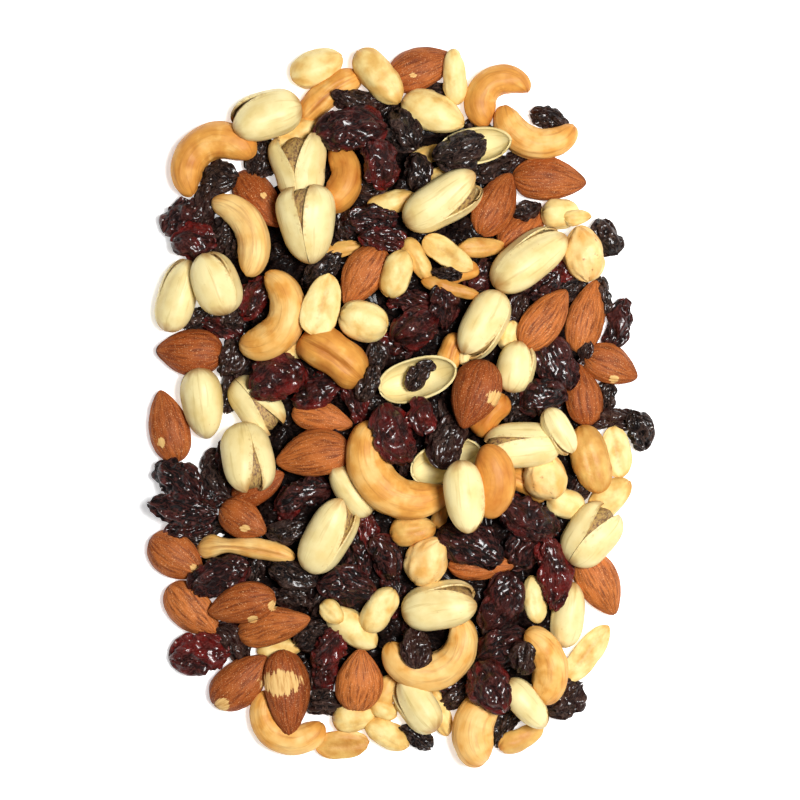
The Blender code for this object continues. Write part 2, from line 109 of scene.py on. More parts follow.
# Almond: the brown seed skin, dry and finely ridged from base to tip, with paler dust on the ridges
def almondSkin():
    look = {
        "deep": "#64280D", "skin": "#994A1B", "ridge": "#CF7838", "dust": "#E8B27A", "torn": "#C8904C",
        "bare": "#E8BE78", "ridgePitch": 0.85, "ridgeStreak": 0.16, "patchSize": 6.25, "dustSize": 0.40,
        "bump": 0.30, "roughness": 0.55, "specular": 0.2,
    }
    material, tree, shader, grain, tone, mark = newMaterial("almond_skin", "grain", "tone", "mark")
    stretched = addNode(tree, "ShaderNodeVectorMath", {
        0: grain, 1: (look["ridgeStreak"], 1.0, 1.0),
    }, operation="MULTIPLY")
    ridges = addNode(tree, "ShaderNodeTexNoise", {
        "Vector": stretched.outputs[0], "Scale": 1.0 / look["ridgePitch"], "Detail": 4.0, "Roughness": 0.65,
    })
    ridgeShare = addNode(tree, "ShaderNodeMapRange", {
        "Value": ridges.outputs["Fac"], "From Min": 0.32, "From Max": 0.60, "To Min": 0.15,
    }, interpolation_type="SMOOTHSTEP").outputs[0]
    patches = addNode(tree, "ShaderNodeTexNoise", {
        "Vector": grain, "Scale": 1.0 / look["patchSize"], "Detail": 2.0,
    })
    shade = addNode(tree, "ShaderNodeMath", {0: patches.outputs["Fac"], 1: tone}, operation="ADD")
    lightShare = addNode(tree, "ShaderNodeMapRange", {
        "Value": shade.outputs[0], "From Min": 0.55, "From Max": 1.5,
    }).outputs[0]
    flecks = addNode(tree, "ShaderNodeTexNoise", {
        "Vector": grain, "Scale": 1.0 / look["dustSize"], "Detail": 2.0, "Roughness": 0.7,
    })
    fleckShare = addNode(tree, "ShaderNodeMapRange", {
        "Value": flecks.outputs["Fac"], "From Min": 0.59, "From Max": 0.70, "To Max": 0.75,
    }).outputs[0]
    body = addNode(tree, "ShaderNodeMix", {
        "Factor_Float": lightShare, "A_Color": toLinear(look["skin"]), "B_Color": toLinear(look["ridge"]),
    }, data_type="RGBA")
    # the torn patches are ragged, because the ridges tear unevenly
    torn = addNode(tree, "ShaderNodeMath", {
        0: ridges.outputs["Fac"], 1: 1.3, 2: mark,
    }, operation="MULTIPLY_ADD")
    tornShare = addNode(tree, "ShaderNodeMapRange", {
        "Value": torn.outputs[0], "From Min": 1.12, "From Max": 1.20,
    }).outputs[0]
    flesh = addNode(tree, "ShaderNodeMix", {
        "Factor_Float": ridgeShare, "A_Color": toLinear(look["torn"]), "B_Color": toLinear(look["bare"]),
    }, data_type="RGBA")
    finishSurface(tree, shader, look, look["deep"], (
        (ridgeShare, body.outputs[2]), (fleckShare, look["dust"]), (tornShare, flesh.outputs[2]),
    ), ridges.outputs["Fac"])
    return material


# Cashew: smooth oily flesh, pale yellow to toasted gold, with fine brown wrinkles along the bend
def cashewFlesh():
    look = {
        "pale": "#F8D288", "gold": "#E8A84E", "toast": "#B8641C", "wrinkle": "#9A5018", "patchSize": 5.0,
        "wrinkleSize": 1.3, "wrinkleStreak": 0.11, "endToast": 0.22, "seamToast": 0.30,
        "bump": 0.24, "roughness": 0.5, "specular": 0.3,
    }
    material, tree, shader, grain, tone, along, mark = newMaterial(
        "roasted_cashew", "grain", "tone", "along", "mark",
    )
    patches = addNode(tree, "ShaderNodeTexNoise", {
        "Vector": grain, "Scale": 1.0 / look["patchSize"], "Detail": 3.0,
    })
    # the ends and some patches brown first
    ends = addNode(tree, "ShaderNodeMath", {0: along, 1: 4.0}, operation="POWER")
    toned = addNode(tree, "ShaderNodeMath", {
        0: ends.outputs[0], 1: look["endToast"], 2: tone,
    }, operation="MULTIPLY_ADD")
    shade = addNode(tree, "ShaderNodeMath", {
        0: patches.outputs["Fac"], 1: 1.3, 2: toned.outputs[0],
    }, operation="MULTIPLY_ADD")
    goldShare = addNode(tree, "ShaderNodeMapRange", {
        "Value": shade.outputs[0], "From Min": 0.60, "From Max": 1.2,
    }).outputs[0]
    toastShare = addNode(tree, "ShaderNodeMapRange", {
        "Value": shade.outputs[0], "From Min": 1.06, "From Max": 1.80, "To Max": 0.95,
    }).outputs[0]
    stretched = addNode(tree, "ShaderNodeVectorMath", {
        0: grain, 1: (look["wrinkleStreak"], 1.0, 1.0),
    }, operation="MULTIPLY")
    wrinkles = addNode(tree, "ShaderNodeTexNoise", {
        "Vector": stretched.outputs[0], "Scale": 1.0 / look["wrinkleSize"], "Detail": 4.0, "Roughness": 0.6,
    })
    # the seam between the two halves is browner still
    creased = addNode(tree, "ShaderNodeMath", {
        0: mark, 1: look["seamToast"], 2: wrinkles.outputs["Fac"],
    }, operation="MULTIPLY_ADD")
    wrinkleShare = addNode(tree, "ShaderNodeMapRange", {
        "Value": creased.outputs[0], "From Min": 0.50, "From Max": 0.80, "To Max": 0.68,
    }).outputs[0]
    finishSurface(tree, shader, look, look["pale"], (
        (goldShare, look["gold"]), (toastShare, look["toast"]), (wrinkleShare, look["wrinkle"]),
    ), wrinkles.outputs["Fac"])
    return material


# Pistachio shell: hard, smooth and cream, with faint lengthwise veins and tan stains at the two ends
def pistachioShell():
    look = {
        "cream": "#F3E1A4", "shade": "#E4CA84", "vein": "#C2A45C", "stain": "#AE7534", "lip": "#B98B4C",
        "veinPitch": 1.6, "veinStreak": 0.12, "cloudSize": 7.14, "mottleSize": 1.3, "lipTan": 0.28,
        "bump": 0.08, "roughness": 0.45, "specular": 0.35,
    }
    material, tree, shader, grain, along, mark = newMaterial("pistachio_shell", "grain", "along", "mark")
    stretched = addNode(tree, "ShaderNodeVectorMath", {
        0: grain, 1: (look["veinStreak"], 1.0, 1.0),
    }, operation="MULTIPLY")
    veins = addNode(tree, "ShaderNodeTexNoise", {
        "Vector": stretched.outputs[0], "Scale": 1.0 / look["veinPitch"], "Detail": 2.0,
    })
    veinShare = addNode(tree, "ShaderNodeMapRange", {
        "Value": veins.outputs["Fac"], "From Min": 0.58, "From Max": 0.74, "To Max": 0.55,
    }).outputs[0]
    clouds = addNode(tree, "ShaderNodeTexNoise", {
        "Vector": grain, "Scale": 1.0 / look["cloudSize"], "Detail": 3.0,
    })
    cloudShare = addNode(tree, "ShaderNodeMapRange", {
        "Value": clouds.outputs["Fac"], "From Min": 0.40, "From Max": 0.70,
    }).outputs[0]
    endReach = addNode(tree, "ShaderNodeMath", {0: along}, operation="ABSOLUTE")
    endMix = addNode(tree, "ShaderNodeMath", {
        0: clouds.outputs["Fac"], 1: 0.55, 2: endReach.outputs[0],
    }, operation="MULTIPLY_ADD")
    stainShare = addNode(tree, "ShaderNodeMapRange", {
        "Value": endMix.outputs[0], "From Min": 1.04, "From Max": 1.32, "To Max": 0.80,
    }).outputs[0]
    # tan lips along the split, broken up by a fine mottle
    mottle = addNode(tree, "ShaderNodeTexNoise", {
        "Vector": grain, "Scale": 1.0 / look["mottleSize"], "Detail": 4.0, "Roughness": 0.65,
    })
    lipMix = addNode(tree, "ShaderNodeMath", {
        0: mark, 1: look["lipTan"], 2: mottle.outputs["Fac"],
    }, operation="MULTIPLY_ADD")
    lipShare = addNode(tree, "ShaderNodeMapRange", {
        "Value": lipMix.outputs[0], "From Min": 0.63, "From Max": 0.90, "To Max": 0.75,
    }).outputs[0]
    finishSurface(tree, shader, look, look["cream"], (
        (cloudShare, look["shade"]), (veinShare, look["vein"]), (stainShare, look["stain"]),
        (lipShare, look["lip"]),
    ), veins.outputs["Fac"])
    return material


# Pistachio kernel: green flesh under a mottled purple and tan skin
def pistachioKernel():
    look = {
        "green": "#A9924E", "tan": "#C2965C", "purple": "#5C342E", "mottleSize": 1.1, "cloudSize": 3.333,
        "bump": 0.35, "roughness": 0.55, "specular": 0.5,
    }
    material, tree, shader, grain = newMaterial("pistachio_kernel", "grain")
    mottle = addNode(tree, "ShaderNodeTexNoise", {
        "Vector": grain, "Scale": 1.0 / look["mottleSize"], "Detail": 4.0, "Roughness": 0.65,
    })
    clouds = addNode(tree, "ShaderNodeTexNoise", {
        "Vector": grain, "Scale": 1.0 / look["cloudSize"], "Detail": 2.0,
    })
    purpleShare = addNode(tree, "ShaderNodeMapRange", {
        "Value": mottle.outputs["Fac"], "From Min": 0.46, "From Max": 0.60, "To Max": 0.8,
    }).outputs[0]
    finishSurface(tree, shader, look, look["green"], (
        (clouds.outputs["Fac"], look["tan"]), (purpleShare, look["purple"]),
    ), mottle.outputs["Fac"])
    return material


# Peanut: blanched and lightly roasted, pale yellow and matt, toasted where it touched the pan
def peanutFlesh():
    look = {
        "pale": "#F4DE9C", "cream": "#E9C26E", "toast": "#C07A2A", "seam": "#B0702C", "patchSize": 4.6,
        "grainSize": 0.9, "endToast": 0.20, "bump": 0.14, "roughness": 0.5, "specular": 0.35,
    }
    material, tree, shader, grain, tone, along, mark = newMaterial(
        "blanched_peanut", "grain", "tone", "along", "mark",
    )
    patches = addNode(tree, "ShaderNodeTexNoise", {
        "Vector": grain, "Scale": 1.0 / look["patchSize"], "Detail": 3.0,
    })
    ends = addNode(tree, "ShaderNodeMath", {0: along, 1: 6.0}, operation="POWER")
    toned = addNode(tree, "ShaderNodeMath", {
        0: ends.outputs[0], 1: look["endToast"], 2: tone,
    }, operation="MULTIPLY_ADD")
    shade = addNode(tree, "ShaderNodeMath", {
        0: patches.outputs["Fac"], 1: 1.2, 2: toned.outputs[0],
    }, operation="MULTIPLY_ADD")
    creamShare = addNode(tree, "ShaderNodeMapRange", {
        "Value": shade.outputs[0], "From Min": 0.55, "From Max": 1.0,
    }).outputs[0]
    toastShare = addNode(tree, "ShaderNodeMapRange", {
        "Value": shade.outputs[0], "From Min": 0.80, "From Max": 1.45, "To Max": 0.9,
    }).outputs[0]
    pores = addNode(tree, "ShaderNodeTexNoise", {
        "Vector": grain, "Scale": 1.0 / look["grainSize"], "Detail": 3.0,
    })
    # browner along the seam, and round the flat face of a half
    seamMix = addNode(tree, "ShaderNodeMath", {
        0: pores.outputs["Fac"], 1: 0.8, 2: mark,
    }, operation="MULTIPLY_ADD")
    seamShare = addNode(tree, "ShaderNodeMapRange", {
        "Value": seamMix.outputs[0], "From Min": 0.70, "From Max": 1.45, "To Max": 0.65,
    }).outputs[0]
    finishSurface(tree, shader, look, look["pale"], (
        (creamShare, look["cream"]), (toastShare, look["toast"]), (seamShare, look["seam"]),
    ), pores.outputs["Fac"])
    return material


# Hazelnut: blanched tan flesh with creases and a few specks of its brown skin
def hazelnutFlesh():
    look = {
        "pale": "#FCDD98", "tan": "#EBAF58", "speck": "#A5672E", "speckSize": 1.8, "cloudSize": 5.0,
        "bump": 0.25, "roughness": 0.5, "specular": 0.5,
    }
    material, tree, shader, grain = newMaterial("hazelnut", "grain")
    clouds = addNode(tree, "ShaderNodeTexNoise", {
        "Vector": grain, "Scale": 1.0 / look["cloudSize"], "Detail": 3.0,
    })
    specks = addNode(tree, "ShaderNodeTexNoise", {
        "Vector": grain, "Scale": 1.0 / look["speckSize"], "Detail": 4.0, "Roughness": 0.6,
    })
    speckShare = addNode(tree, "ShaderNodeMapRange", {
        "Value": specks.outputs["Fac"], "From Min": 0.62, "From Max": 0.72, "To Max": 0.75,
    }).outputs[0]
    cloudShare = addNode(tree, "ShaderNodeMapRange", {
        "Value": clouds.outputs["Fac"], "From Min": 0.35, "From Max": 0.7,
    }).outputs[0]
    finishSurface(tree, shader, look, look["pale"], (
        (cloudShare, look["tan"]), (speckShare, look["speck"]),
    ), specks.outputs["Fac"])
    return material


# Dried fruit: dark leathery skin, a net of fine glossy wrinkles with painted highlights along it, fold crests
# painted lighter, and tiny painted glints
def driedFruit(name, look):
    material, tree, shader, grain, tone, crest, along = newMaterial(name, "grain", "tone", "crest", "along")
    clouds = addNode(tree, "ShaderNodeTexNoise", {
        "Vector": grain, "Scale": 1.0 / look["cloudSize"], "Detail": 3.0,
    })
    shade = addNode(tree, "ShaderNodeMath", {0: clouds.outputs["Fac"], 1: tone}, operation="ADD")
    skinShare = addNode(tree, "ShaderNodeMapRange", {
        "Value": shade.outputs[0], "From Min": look["skinFrom"], "From Max": look["skinTo"],
    }).outputs[0]
    # where a noise crosses its middle value it draws a thin line: the net of wrinkles, raised by the bump and
    # painted lighter along the line as a painted highlight
    netWay = addNode(tree, "ShaderNodeVectorMath", {
        0: grain, 1: (look["netStreak"], 1.0, 1.0),
    }, operation="MULTIPLY")
    nets = addNode(tree, "ShaderNodeTexNoise", {
        "Vector": netWay.outputs[0], "Scale": 1.0 / look["netSize"], "Detail": 2.5, "Roughness": 0.55,
        "Distortion": 0.6,
    })
    netCentred = addNode(tree, "ShaderNodeMath", {0: nets.outputs["Fac"], 1: 0.5}, operation="SUBTRACT")
    netAway = addNode(tree, "ShaderNodeMath", {0: netCentred.outputs[0]}, operation="ABSOLUTE")
    net = addNode(tree, "ShaderNodeMapRange", {
        "Value": netAway.outputs[0], "From Min": 0.0, "From Max": 0.075, "To Min": 1.0, "To Max": 0.0,
    }, interpolation_type="SMOOTHSTEP")
    netHighlightShare = addNode(tree, "ShaderNodeMath", {
        0: net.outputs[0], 1: look["netMost"],
    }, operation="MULTIPLY").outputs[0]
    fine = addNode(tree, "ShaderNodeTexNoise", {
        "Vector": grain, "Scale": 1.0 / look["fineSize"], "Detail": 2.0, "Roughness": 0.6,
    })
    height = addNode(tree, "ShaderNodeMath", {
        0: net.outputs[0], 1: look["netRise"], 2: fine.outputs["Fac"],
    }, operation="MULTIPLY_ADD")
    # the crests of the folds are painted lighter than the valleys: painted highlight on the crests, painted
    # shade in the valleys
    crestHighlightShare = addNode(tree, "ShaderNodeMapRange", {
        "Value": crest, "From Min": 0.45, "From Max": 1.0, "To Max": look["crestMost"],
    }).outputs[0]
    # the thin rim, where light comes through the fruit
    rimTone = addNode(tree, "ShaderNodeMath", {0: tone, 1: 0.9, 2: along}, operation="MULTIPLY_ADD")
    rimmed = addNode(tree, "ShaderNodeMath", {
        0: clouds.outputs["Fac"], 1: 2.4, 2: rimTone.outputs[0],
    }, operation="MULTIPLY_ADD")
    rimShare = addNode(tree, "ShaderNodeMapRange", {
        "Value": rimmed.outputs[0], "From Min": 1.76, "From Max": 2.30, "To Max": look["rimMost"],
    }).outputs[0]
    # painted glints: a small pale spot in some cells of a cell pattern, a painted highlight
    cells = addNode(tree, "ShaderNodeTexVoronoi", {"Vector": grain, "Scale": 1.0 / look["glintSpacing"]})
    spot = addNode(tree, "ShaderNodeMapRange", {
        "Value": cells.outputs["Distance"], "From Min": look["glintSize"] / look["glintSpacing"],
        "From Max": 0.5 * look["glintSize"] / look["glintSpacing"], "To Max": look["glintMost"],
    })
    chance = addNode(tree, "ShaderNodeSeparateColor", {"Color": cells.outputs["Color"]})
    chosen = addNode(tree, "ShaderNodeMath", {0: chance.outputs["Red"], 1: 0.70}, operation="GREATER_THAN")
    paintedGlintShare = addNode(tree, "ShaderNodeMath", {
        0: spot.outputs[0], 1: chosen.outputs[0],
    }, operation="MULTIPLY").outputs[0]
    finishSurface(tree, shader, look, look["dark"], (
        (skinShare, look["skin"]), (crestHighlightShare, look["crest"]), (rimShare, look["rim"]),
        (netHighlightShare, look["net"]), (paintedGlintShare, look["glint"]),
    ), height.outputs[0])
    shader.inputs["Coat Weight"].default_value = look["coat"]
    shader.inputs["Coat Roughness"].default_value = look["coatRoughness"]
    return material


# the crest, net and glint colours of these looks are painted highlights on the fruit
raisinLook = {
    "dark": "#080202", "skin": "#1C0B06", "crest": "#3A2620", "crestMost": 0.8, "skinFrom": 0.5,
    "skinTo": 1.5, "rim": "#3A140F", "rimMost": 0.5, "cloudSize": 4.545, "net": "#87695C", "netMost": 0.34,
    "netSize": 1.2, "netStreak": 0.5, "netRise": 0.75, "fineSize": 0.5, "bump": 0.55, "roughness": 0.42,
    "specular": 0.15, "coat": 0.46, "coatRoughness": 0.19, "glint": "#F0E6DC", "glintSize": 0.24,
    "glintSpacing": 1.6, "glintMost": 0.8,
}
cranberryLook = {
    "dark": "#0B0202", "skin": "#2A0705", "crest": "#43140F", "crestMost": 0.7, "skinFrom": 0.55,
    "skinTo": 1.45, "rim": "#7F150E", "rimMost": 0.62, "cloudSize": 4.545, "net": "#94524A",
    "netMost": 0.28, "netSize": 1.6, "netStreak": 0.5, "netRise": 0.70, "fineSize": 0.55, "bump": 0.58,
    "roughness": 0.40, "specular": 0.18, "coat": 0.52, "coatRoughness": 0.19, "glint": "#FBEDE4",
    "glintSize": 0.26, "glintSpacing": 1.6, "glintMost": 0.85,
}
# fruit deep in the heap and the bed under it: the raisin skin darker throughout, painted shade, with dim
# painted glints
shadedFruitLook = {
    "dark": "#080202", "skin": "#160604", "crest": "#200B07", "crestMost": 0.5, "skinFrom": 0.5,
    "skinTo": 1.5, "rim": "#2E0906", "rimMost": 0.5, "cloudSize": 4.545, "net": "#4A342C", "netMost": 0.30,
    "netSize": 1.4, "netStreak": 0.5, "netRise": 0.70, "fineSize": 0.6, "bump": 0.50, "roughness": 0.55,
    "specular": 0.10, "coat": 0.14, "coatRoughness": 0.15, "glint": "#8A7468", "glintSize": 0.24,
    "glintSpacing": 2.2, "glintMost": 0.4,
}

skins = {
    "almond": almondSkin(),
    "cashew": cashewFlesh(),
    "shell": pistachioShell(),
    "kernel": pistachioKernel(),
    "peanut": peanutFlesh(),
    "hazelnut": hazelnutFlesh(),
    "raisin": driedFruit("raisin", raisinLook),
    "cranberry": driedFruit("dried_cranberry", cranberryLook),
    "hidden": driedFruit("shaded_fruit", shadedFruitLook),
}
print("materials made:", len(skins))


# Layout, read from above: x, y, heading, length, width, tier; a higher tier lies on the lower ones

almondRows = (
    (6.5, 102.5, 20, 21, 13, 1), (45.5, 68.5, -5, 22.5, 13.5, 1), (29, 61, 62, 21.5, 12.5, 3),
    (37.5, 54, 42, 19, 11, 1), (-43, 62.5, -52, 22, 12, 1), (-11, 39, 238, 21, 13, 2),
    (-64, 16.2, 178, 20.5, 14.5, 1), (-70.5, -6.5, 104, 22.5, 12.5, 1), (-23.5, -4, -12, 19, 9.5, 2),
    (-26.5, -15, 190, 23, 14.5, 3), (-43, -24.5, 25, 18, 11, 1), (-47.5, -34.7, -28, 16.5, 11.5, 3),
    (-68, -46.2, -35, 19.5, 13.5, 1), (-63, -62.5, -45, 21, 13, 1), (-48, -60.5, 195, 21.5, 12.5, 3),
    (-38.3, -67.3, 14, 24, 11.5, 2), (-48.5, -84, 42, 22, 14, 2), (-34.5, -87.5, -85, 26.5, 14, 3),
    (-12.5, -83.5, 85, 19.5, 14.5, 2), (24.5, -48.5, 0, 20, 9, 2), (60.5, -54.5, -62, 21, 13, 1),
    (55.8, 3, 98, 19, 11.5, 2), (64.3, 12, -25, 17.5, 12, 2), (56.8, 27, 74, 23, 12, 2),
    (43.8, 26, 52, 22, 12.5, 3), (22.3, 3.2, 252, 22, 15, 4),
)

# where an almond's skin is torn off: x, y, size along x, size along y
almondChips = (
    (-41.5, 63.5, 1.2, 0.9), (65, 7.8, 1.5, 1.1), (-72.5, -11.5, 1.3, 1.5), (-46.8, -37.2, 1.6, 1.1),
    (-62.5, -49.5, 1.2, 1.3), (-44.5, -65, 1.5, 1.2), (-38.5, -60.8, 1.2, 1.6), (-54, -91, 2.2, 2.2),
    (-36, -84, 6.2, 3.6), (28.5, 2.0, 2.6, 2.2), (4, 100, 1.2, 0.8), (38, -52, 1.0, 0.8),
)

# cashews lying flat: centre of the bend x, y, bend radius, direction of the back, sweep, thickness,
# tier, and how toasted it is
cashewRows = (
    (-54.5, 70, 10.5, 122, 190, 11, 1, 0.60), (-57.5, 47.5, 13.7, 27, 128, 9.5, 4, 0.10),
    (-25, 69.5, 9, -5, 150, 9.5, 1, 0.80), (32, 91.5, 7.7, 130, 205, 9.5, 1, 0.60),
    (43, 90.5, 11.3, 254, 155, 9.5, 2, 0.40), (-44, 29, 10.5, -22, 190, 11, 3, 0.35),
    (18, -22, 10.5, -2, 118, 12, 3, 0.75), (4.5, -14, 14.7, 228, 168, 12.5, 3, 0.45),
    (8, -70, 11, 292, 206, 11, 3, 0.25), (-32.5, -92.5, 9.5, 240, 190, 9, 1, 0.40),
    (33, -99.5, 11, 168, 130, 12.3, 2, 0.25), (32, -81, 13.5, 12, 108, 10.5, 2, 0.40),
)

# cashews on end or on edge: as the almonds, then how toasted, and how much one end swells out
cashewBackRows = (
    (-21.5, 94.5, 38, 23, 9.5, 1, 0.50), (-20, 14.7, -35, 23, 14, 3, 0.70),
    (26.5, -2.5, 50, 15, 11, 3, 0.80), (-47, -43.7, -5, 31, 7, 2, 0.20, 1.6),
    (17, 39.5, 20, 14, 7, 2, 0.50), (38.5, -24, -30, 15, 8, 1, 0.50), (15.5, 16, 70, 12, 8, 1, 0.60),
)

# pistachios: as the almonds, then the roll of the slit to the right of the heading, its gape, and the
# taper towards the tip where it isn't the usual one
pistachioRows = (
    (-40.2, 88, 195, 21.5, 16.5, 2, 42, 18), (-30.5, 71.5, 97, 20, 16, 2, 0, 30),
    (-28, 54.5, 95, 23.5, 17, 3, 0, 12, -0.12), (12.3, 61, 30, 25.5, 15, 4, 45, 16),
    (38.5, 43.7, 40, 26.5, 15.5, 3, -40, 9), (-67.7, 33, 75, 22.5, 13.5, 2, -60, 8),
    (-55.5, 36.5, 110, 19.5, 15.5, 3, 55, 8), (25.3, 24.5, 242, 22, 14.5, 3, -55, 10),
    (35, 11.3, 75, 15.5, 13, 3, 55, 10), (57.5, -39.8, 52, 20.5, 15.5, 2, -12, 15),
    (37, -12, 182, 22.5, 14, 3, 5, 9), (19.2, -27, -83, 21.5, 14, 4, 95, 4),
    (-14.5, -26, 125, 18, 11.5, 2, 75, 8), (-60, 0.7, 98, 21.5, 14.5, 2, 95, 5, -0.12),
    (-44, 0.3, -48, 20, 13, 1, -20, 14), (-46, -15.5, -78, 21.5, 16, 3, -22, 12),
    (-21.7, -39.8, 60, 24.5, 15, 4, 50, 12), (5.3, -91.3, 128, 19, 13, 3, -45, 14),
    (11.5, -60.5, 12, 22.5, 15.5, 4, -58, 14), (38, -90, -50, 18, 11, 3, 95, 5),
    (51, -64, 82, 20, 12, 2, -85, 6), (47.3, -7.7, -62, 15, 9, 4, 60, 8),
)

# empty half shells with the hollow side up
halfShellRows = (
    (22.5, 77.3, 12, 22, 11.5, 2), (5.3, 8, 17, 24, 12.5, 3), (13.5, -17, 22, 22, 12, 2),
)

# peanuts and halves: as the almonds, then how toasted, and 1 where the flat face is up
peanutRows = (
    (-25.3, 102.8, 22, 17, 11, 1, 0.20, 0), (-31.5, 82, 32, 16, 9, 1, 0.35, 0),
    (-6.5, 99.7, -52, 20.5, 11, 2, 0.35, 0), (16.5, 99.7, 95, 17, 7.5, 3, 0.10, 0),
    (10, 89, -22, 20.5, 12.5, 2, 0.10, 0), (8.5, 76, 20, 13, 6, 1, 0.30, 0),
    (14, 69, 10, 14, 7, 1, 0.30, 0), (-2.5, 61.5, 12, 16, 7, 2, 0.30, 0),
    (49, 58.3, 0, 12, 9.5, 1, 0.15, 0), (54, 57, 5, 9, 5, 1, 0.20, 0), (24.5, 47.7, 5, 15, 6.5, 2, 0.60, 0),
    (14.5, 45.5, -35, 18, 8, 3, 0.25, 1), (15.5, 35, -15, 19, 5, 2, 0.70, 0),
    (5.2, 44, -62, 14.5, 6.5, 3, 0.45, 0), (-1, 39.5, 72, 15, 9.5, 3, 0.25, 0),
    (-18.5, 47, 12, 14, 5, 1, 0.50, 0), (-23.5, 30.2, 74, 19.5, 11.5, 4, 0.15, 1),
    (-11, 25.3, -15, 15, 12.5, 3, 0.05, 0), (-33.5, 16.5, 0, 10, 7, 1, 0.30, 0),
    (33.5, 20.7, 80, 9.5, 7, 2, 0.15, 0), (19.5, 15, 80, 6, 4, 2, 0.10, 0),
    (57.8, -16.6, -74, 21.5, 12, 3, 0.60, 0), (66, -14.3, 98, 16, 9, 2, 0.15, 1),
    (64, -28, 42, 15.5, 10, 1, 0.35, 0), (50.3, -30, -15, 12, 9.5, 2, 0.15, 0),
    (4, -38, 10, 14, 9, 2, 0.60, 0), (12.3, -33.5, 70, 8, 5, 2, 0.60, 0),
    (-14.5, -67.5, -36, 18.5, 10, 2, 0.10, 0), (-6.3, -62, 55, 15.5, 9, 3, 0.15, 0),
    (-20.5, -62.5, -45, 9, 6.5, 2, 0.20, 0), (-36.5, -74.3, 8, 15, 6, 1, 0.30, 0),
    (-14, -95, 8, 13.5, 9.5, 1, 0.20, 0), (-17.6, -103.4, 6, 16.5, 9, 1, 0.55, 1),
    (-3.8, -100.3, -30, 15.5, 8.5, 1, 0.30, 0), (-5, -92.7, -20, 9, 6.5, 1, 0.30, 0),
    (11.5, -93.5, -65, 16, 7, 2, 0.30, 0), (37, -101.5, 25, 15, 7, 2, 0.55, 0),
    (57, -75.5, 52, 21, 8.5, 1, 0.20, 1), (40.7, -59, 97, 14.5, 7.5, 1, 0.15, 0),
)

hazelnutRows = (
    (55.8, 45.5, 100, 16.5, 12.8, 2), (43.8, -21.5, 110, 14.5, 13.5, 2), (8, -47.3, 60, 15, 13, 3),
)

# raisins: as the almonds, then how far one is lifted clear of the half shell under it
raisinRows = (
    (-42, 75, 70, 12, 10, 1), (-55, 69, 10, 12, 10, 1), (-12.5, 92.5, -8, 17, 8, 1),
    (1, 83, -60, 14, 12, 2), (5, 70.5, 80, 11, 9, 3), (-9, 66.5, 20, 10, 8, 1), (45.5, 87, -20, 12, 8, 1),
    (23.5, 85, 0, 8, 5, 1), (18.0, 76.7, 22, 16.5, 11, 4, 1.4), (27, 72, 20, 15, 8, 1),
    (38.5, 59, 30, 9, 6, 1), (63, 51, -60, 12, 9.5, 1), (14, 39.5, -5, 10, 4, 3),
    (-23.5, 40.5, 38, 15, 8, 2), (-54, 52, 60, 13, 11, 1), (-50, 26.5, 30, 8, 7, 2),
    (-51, 15, 68, 14, 9, 1), (-7.5, 14.5, 80, 9.5, 6.5, 3), (-9.5, 6.5, 68, 11, 6.5, 3),
    (-8, -0.5, 20, 9, 7, 2), (6.0, 9.0, 53, 10.8, 5.6, 4, 0.7), (36, 28.7, 80, 10, 6.5, 1),
    (50, 35.5, 20, 13, 7, 1), (56.3, 16, 70, 7, 4, 3), (34, 0, 80, 11, 9, 1), (63, 2.8, 80, 9, 6.5, 1),
    (65, -4.5, 0, 15, 7.5, 1), (72.7, -7.5, -70, 12.5, 8, 1), (14, -11, 72, 16.5, 10.5, 3, 1.7),
    (1.5, -17, 80, 9, 6, 3), (11.5, -3.5, 80, 10, 6, 2), (-55.2, -23.4, -50, 12.5, 9.5, 1),
    (-34, -37.7, 10, 13, 8, 2), (-32.5, -51.3, -20, 15.5, 10, 2), (-43.5, -50, 80, 7, 5, 1),
    (-33, -58.5, -5, 14, 7, 1), (-51, -72, -50, 14, 9, 1), (-26, -69.5, 30, 13, 9, 1),
    (-23, -91, 0, 11.5, 9, 1), (5, -101, -35, 11.5, 7.5, 1), (5, -73, 88, 12.5, 9, 4),
    (37, -76, 80, 10, 8, 3), (32, -98, 60, 13.5, 7, 1), (49.9, -89.2, 35, 14, 11, 1),
    (-24, -60, 60, 9, 7, 1), (-17, 55, 90, 11, 7, 1),
)

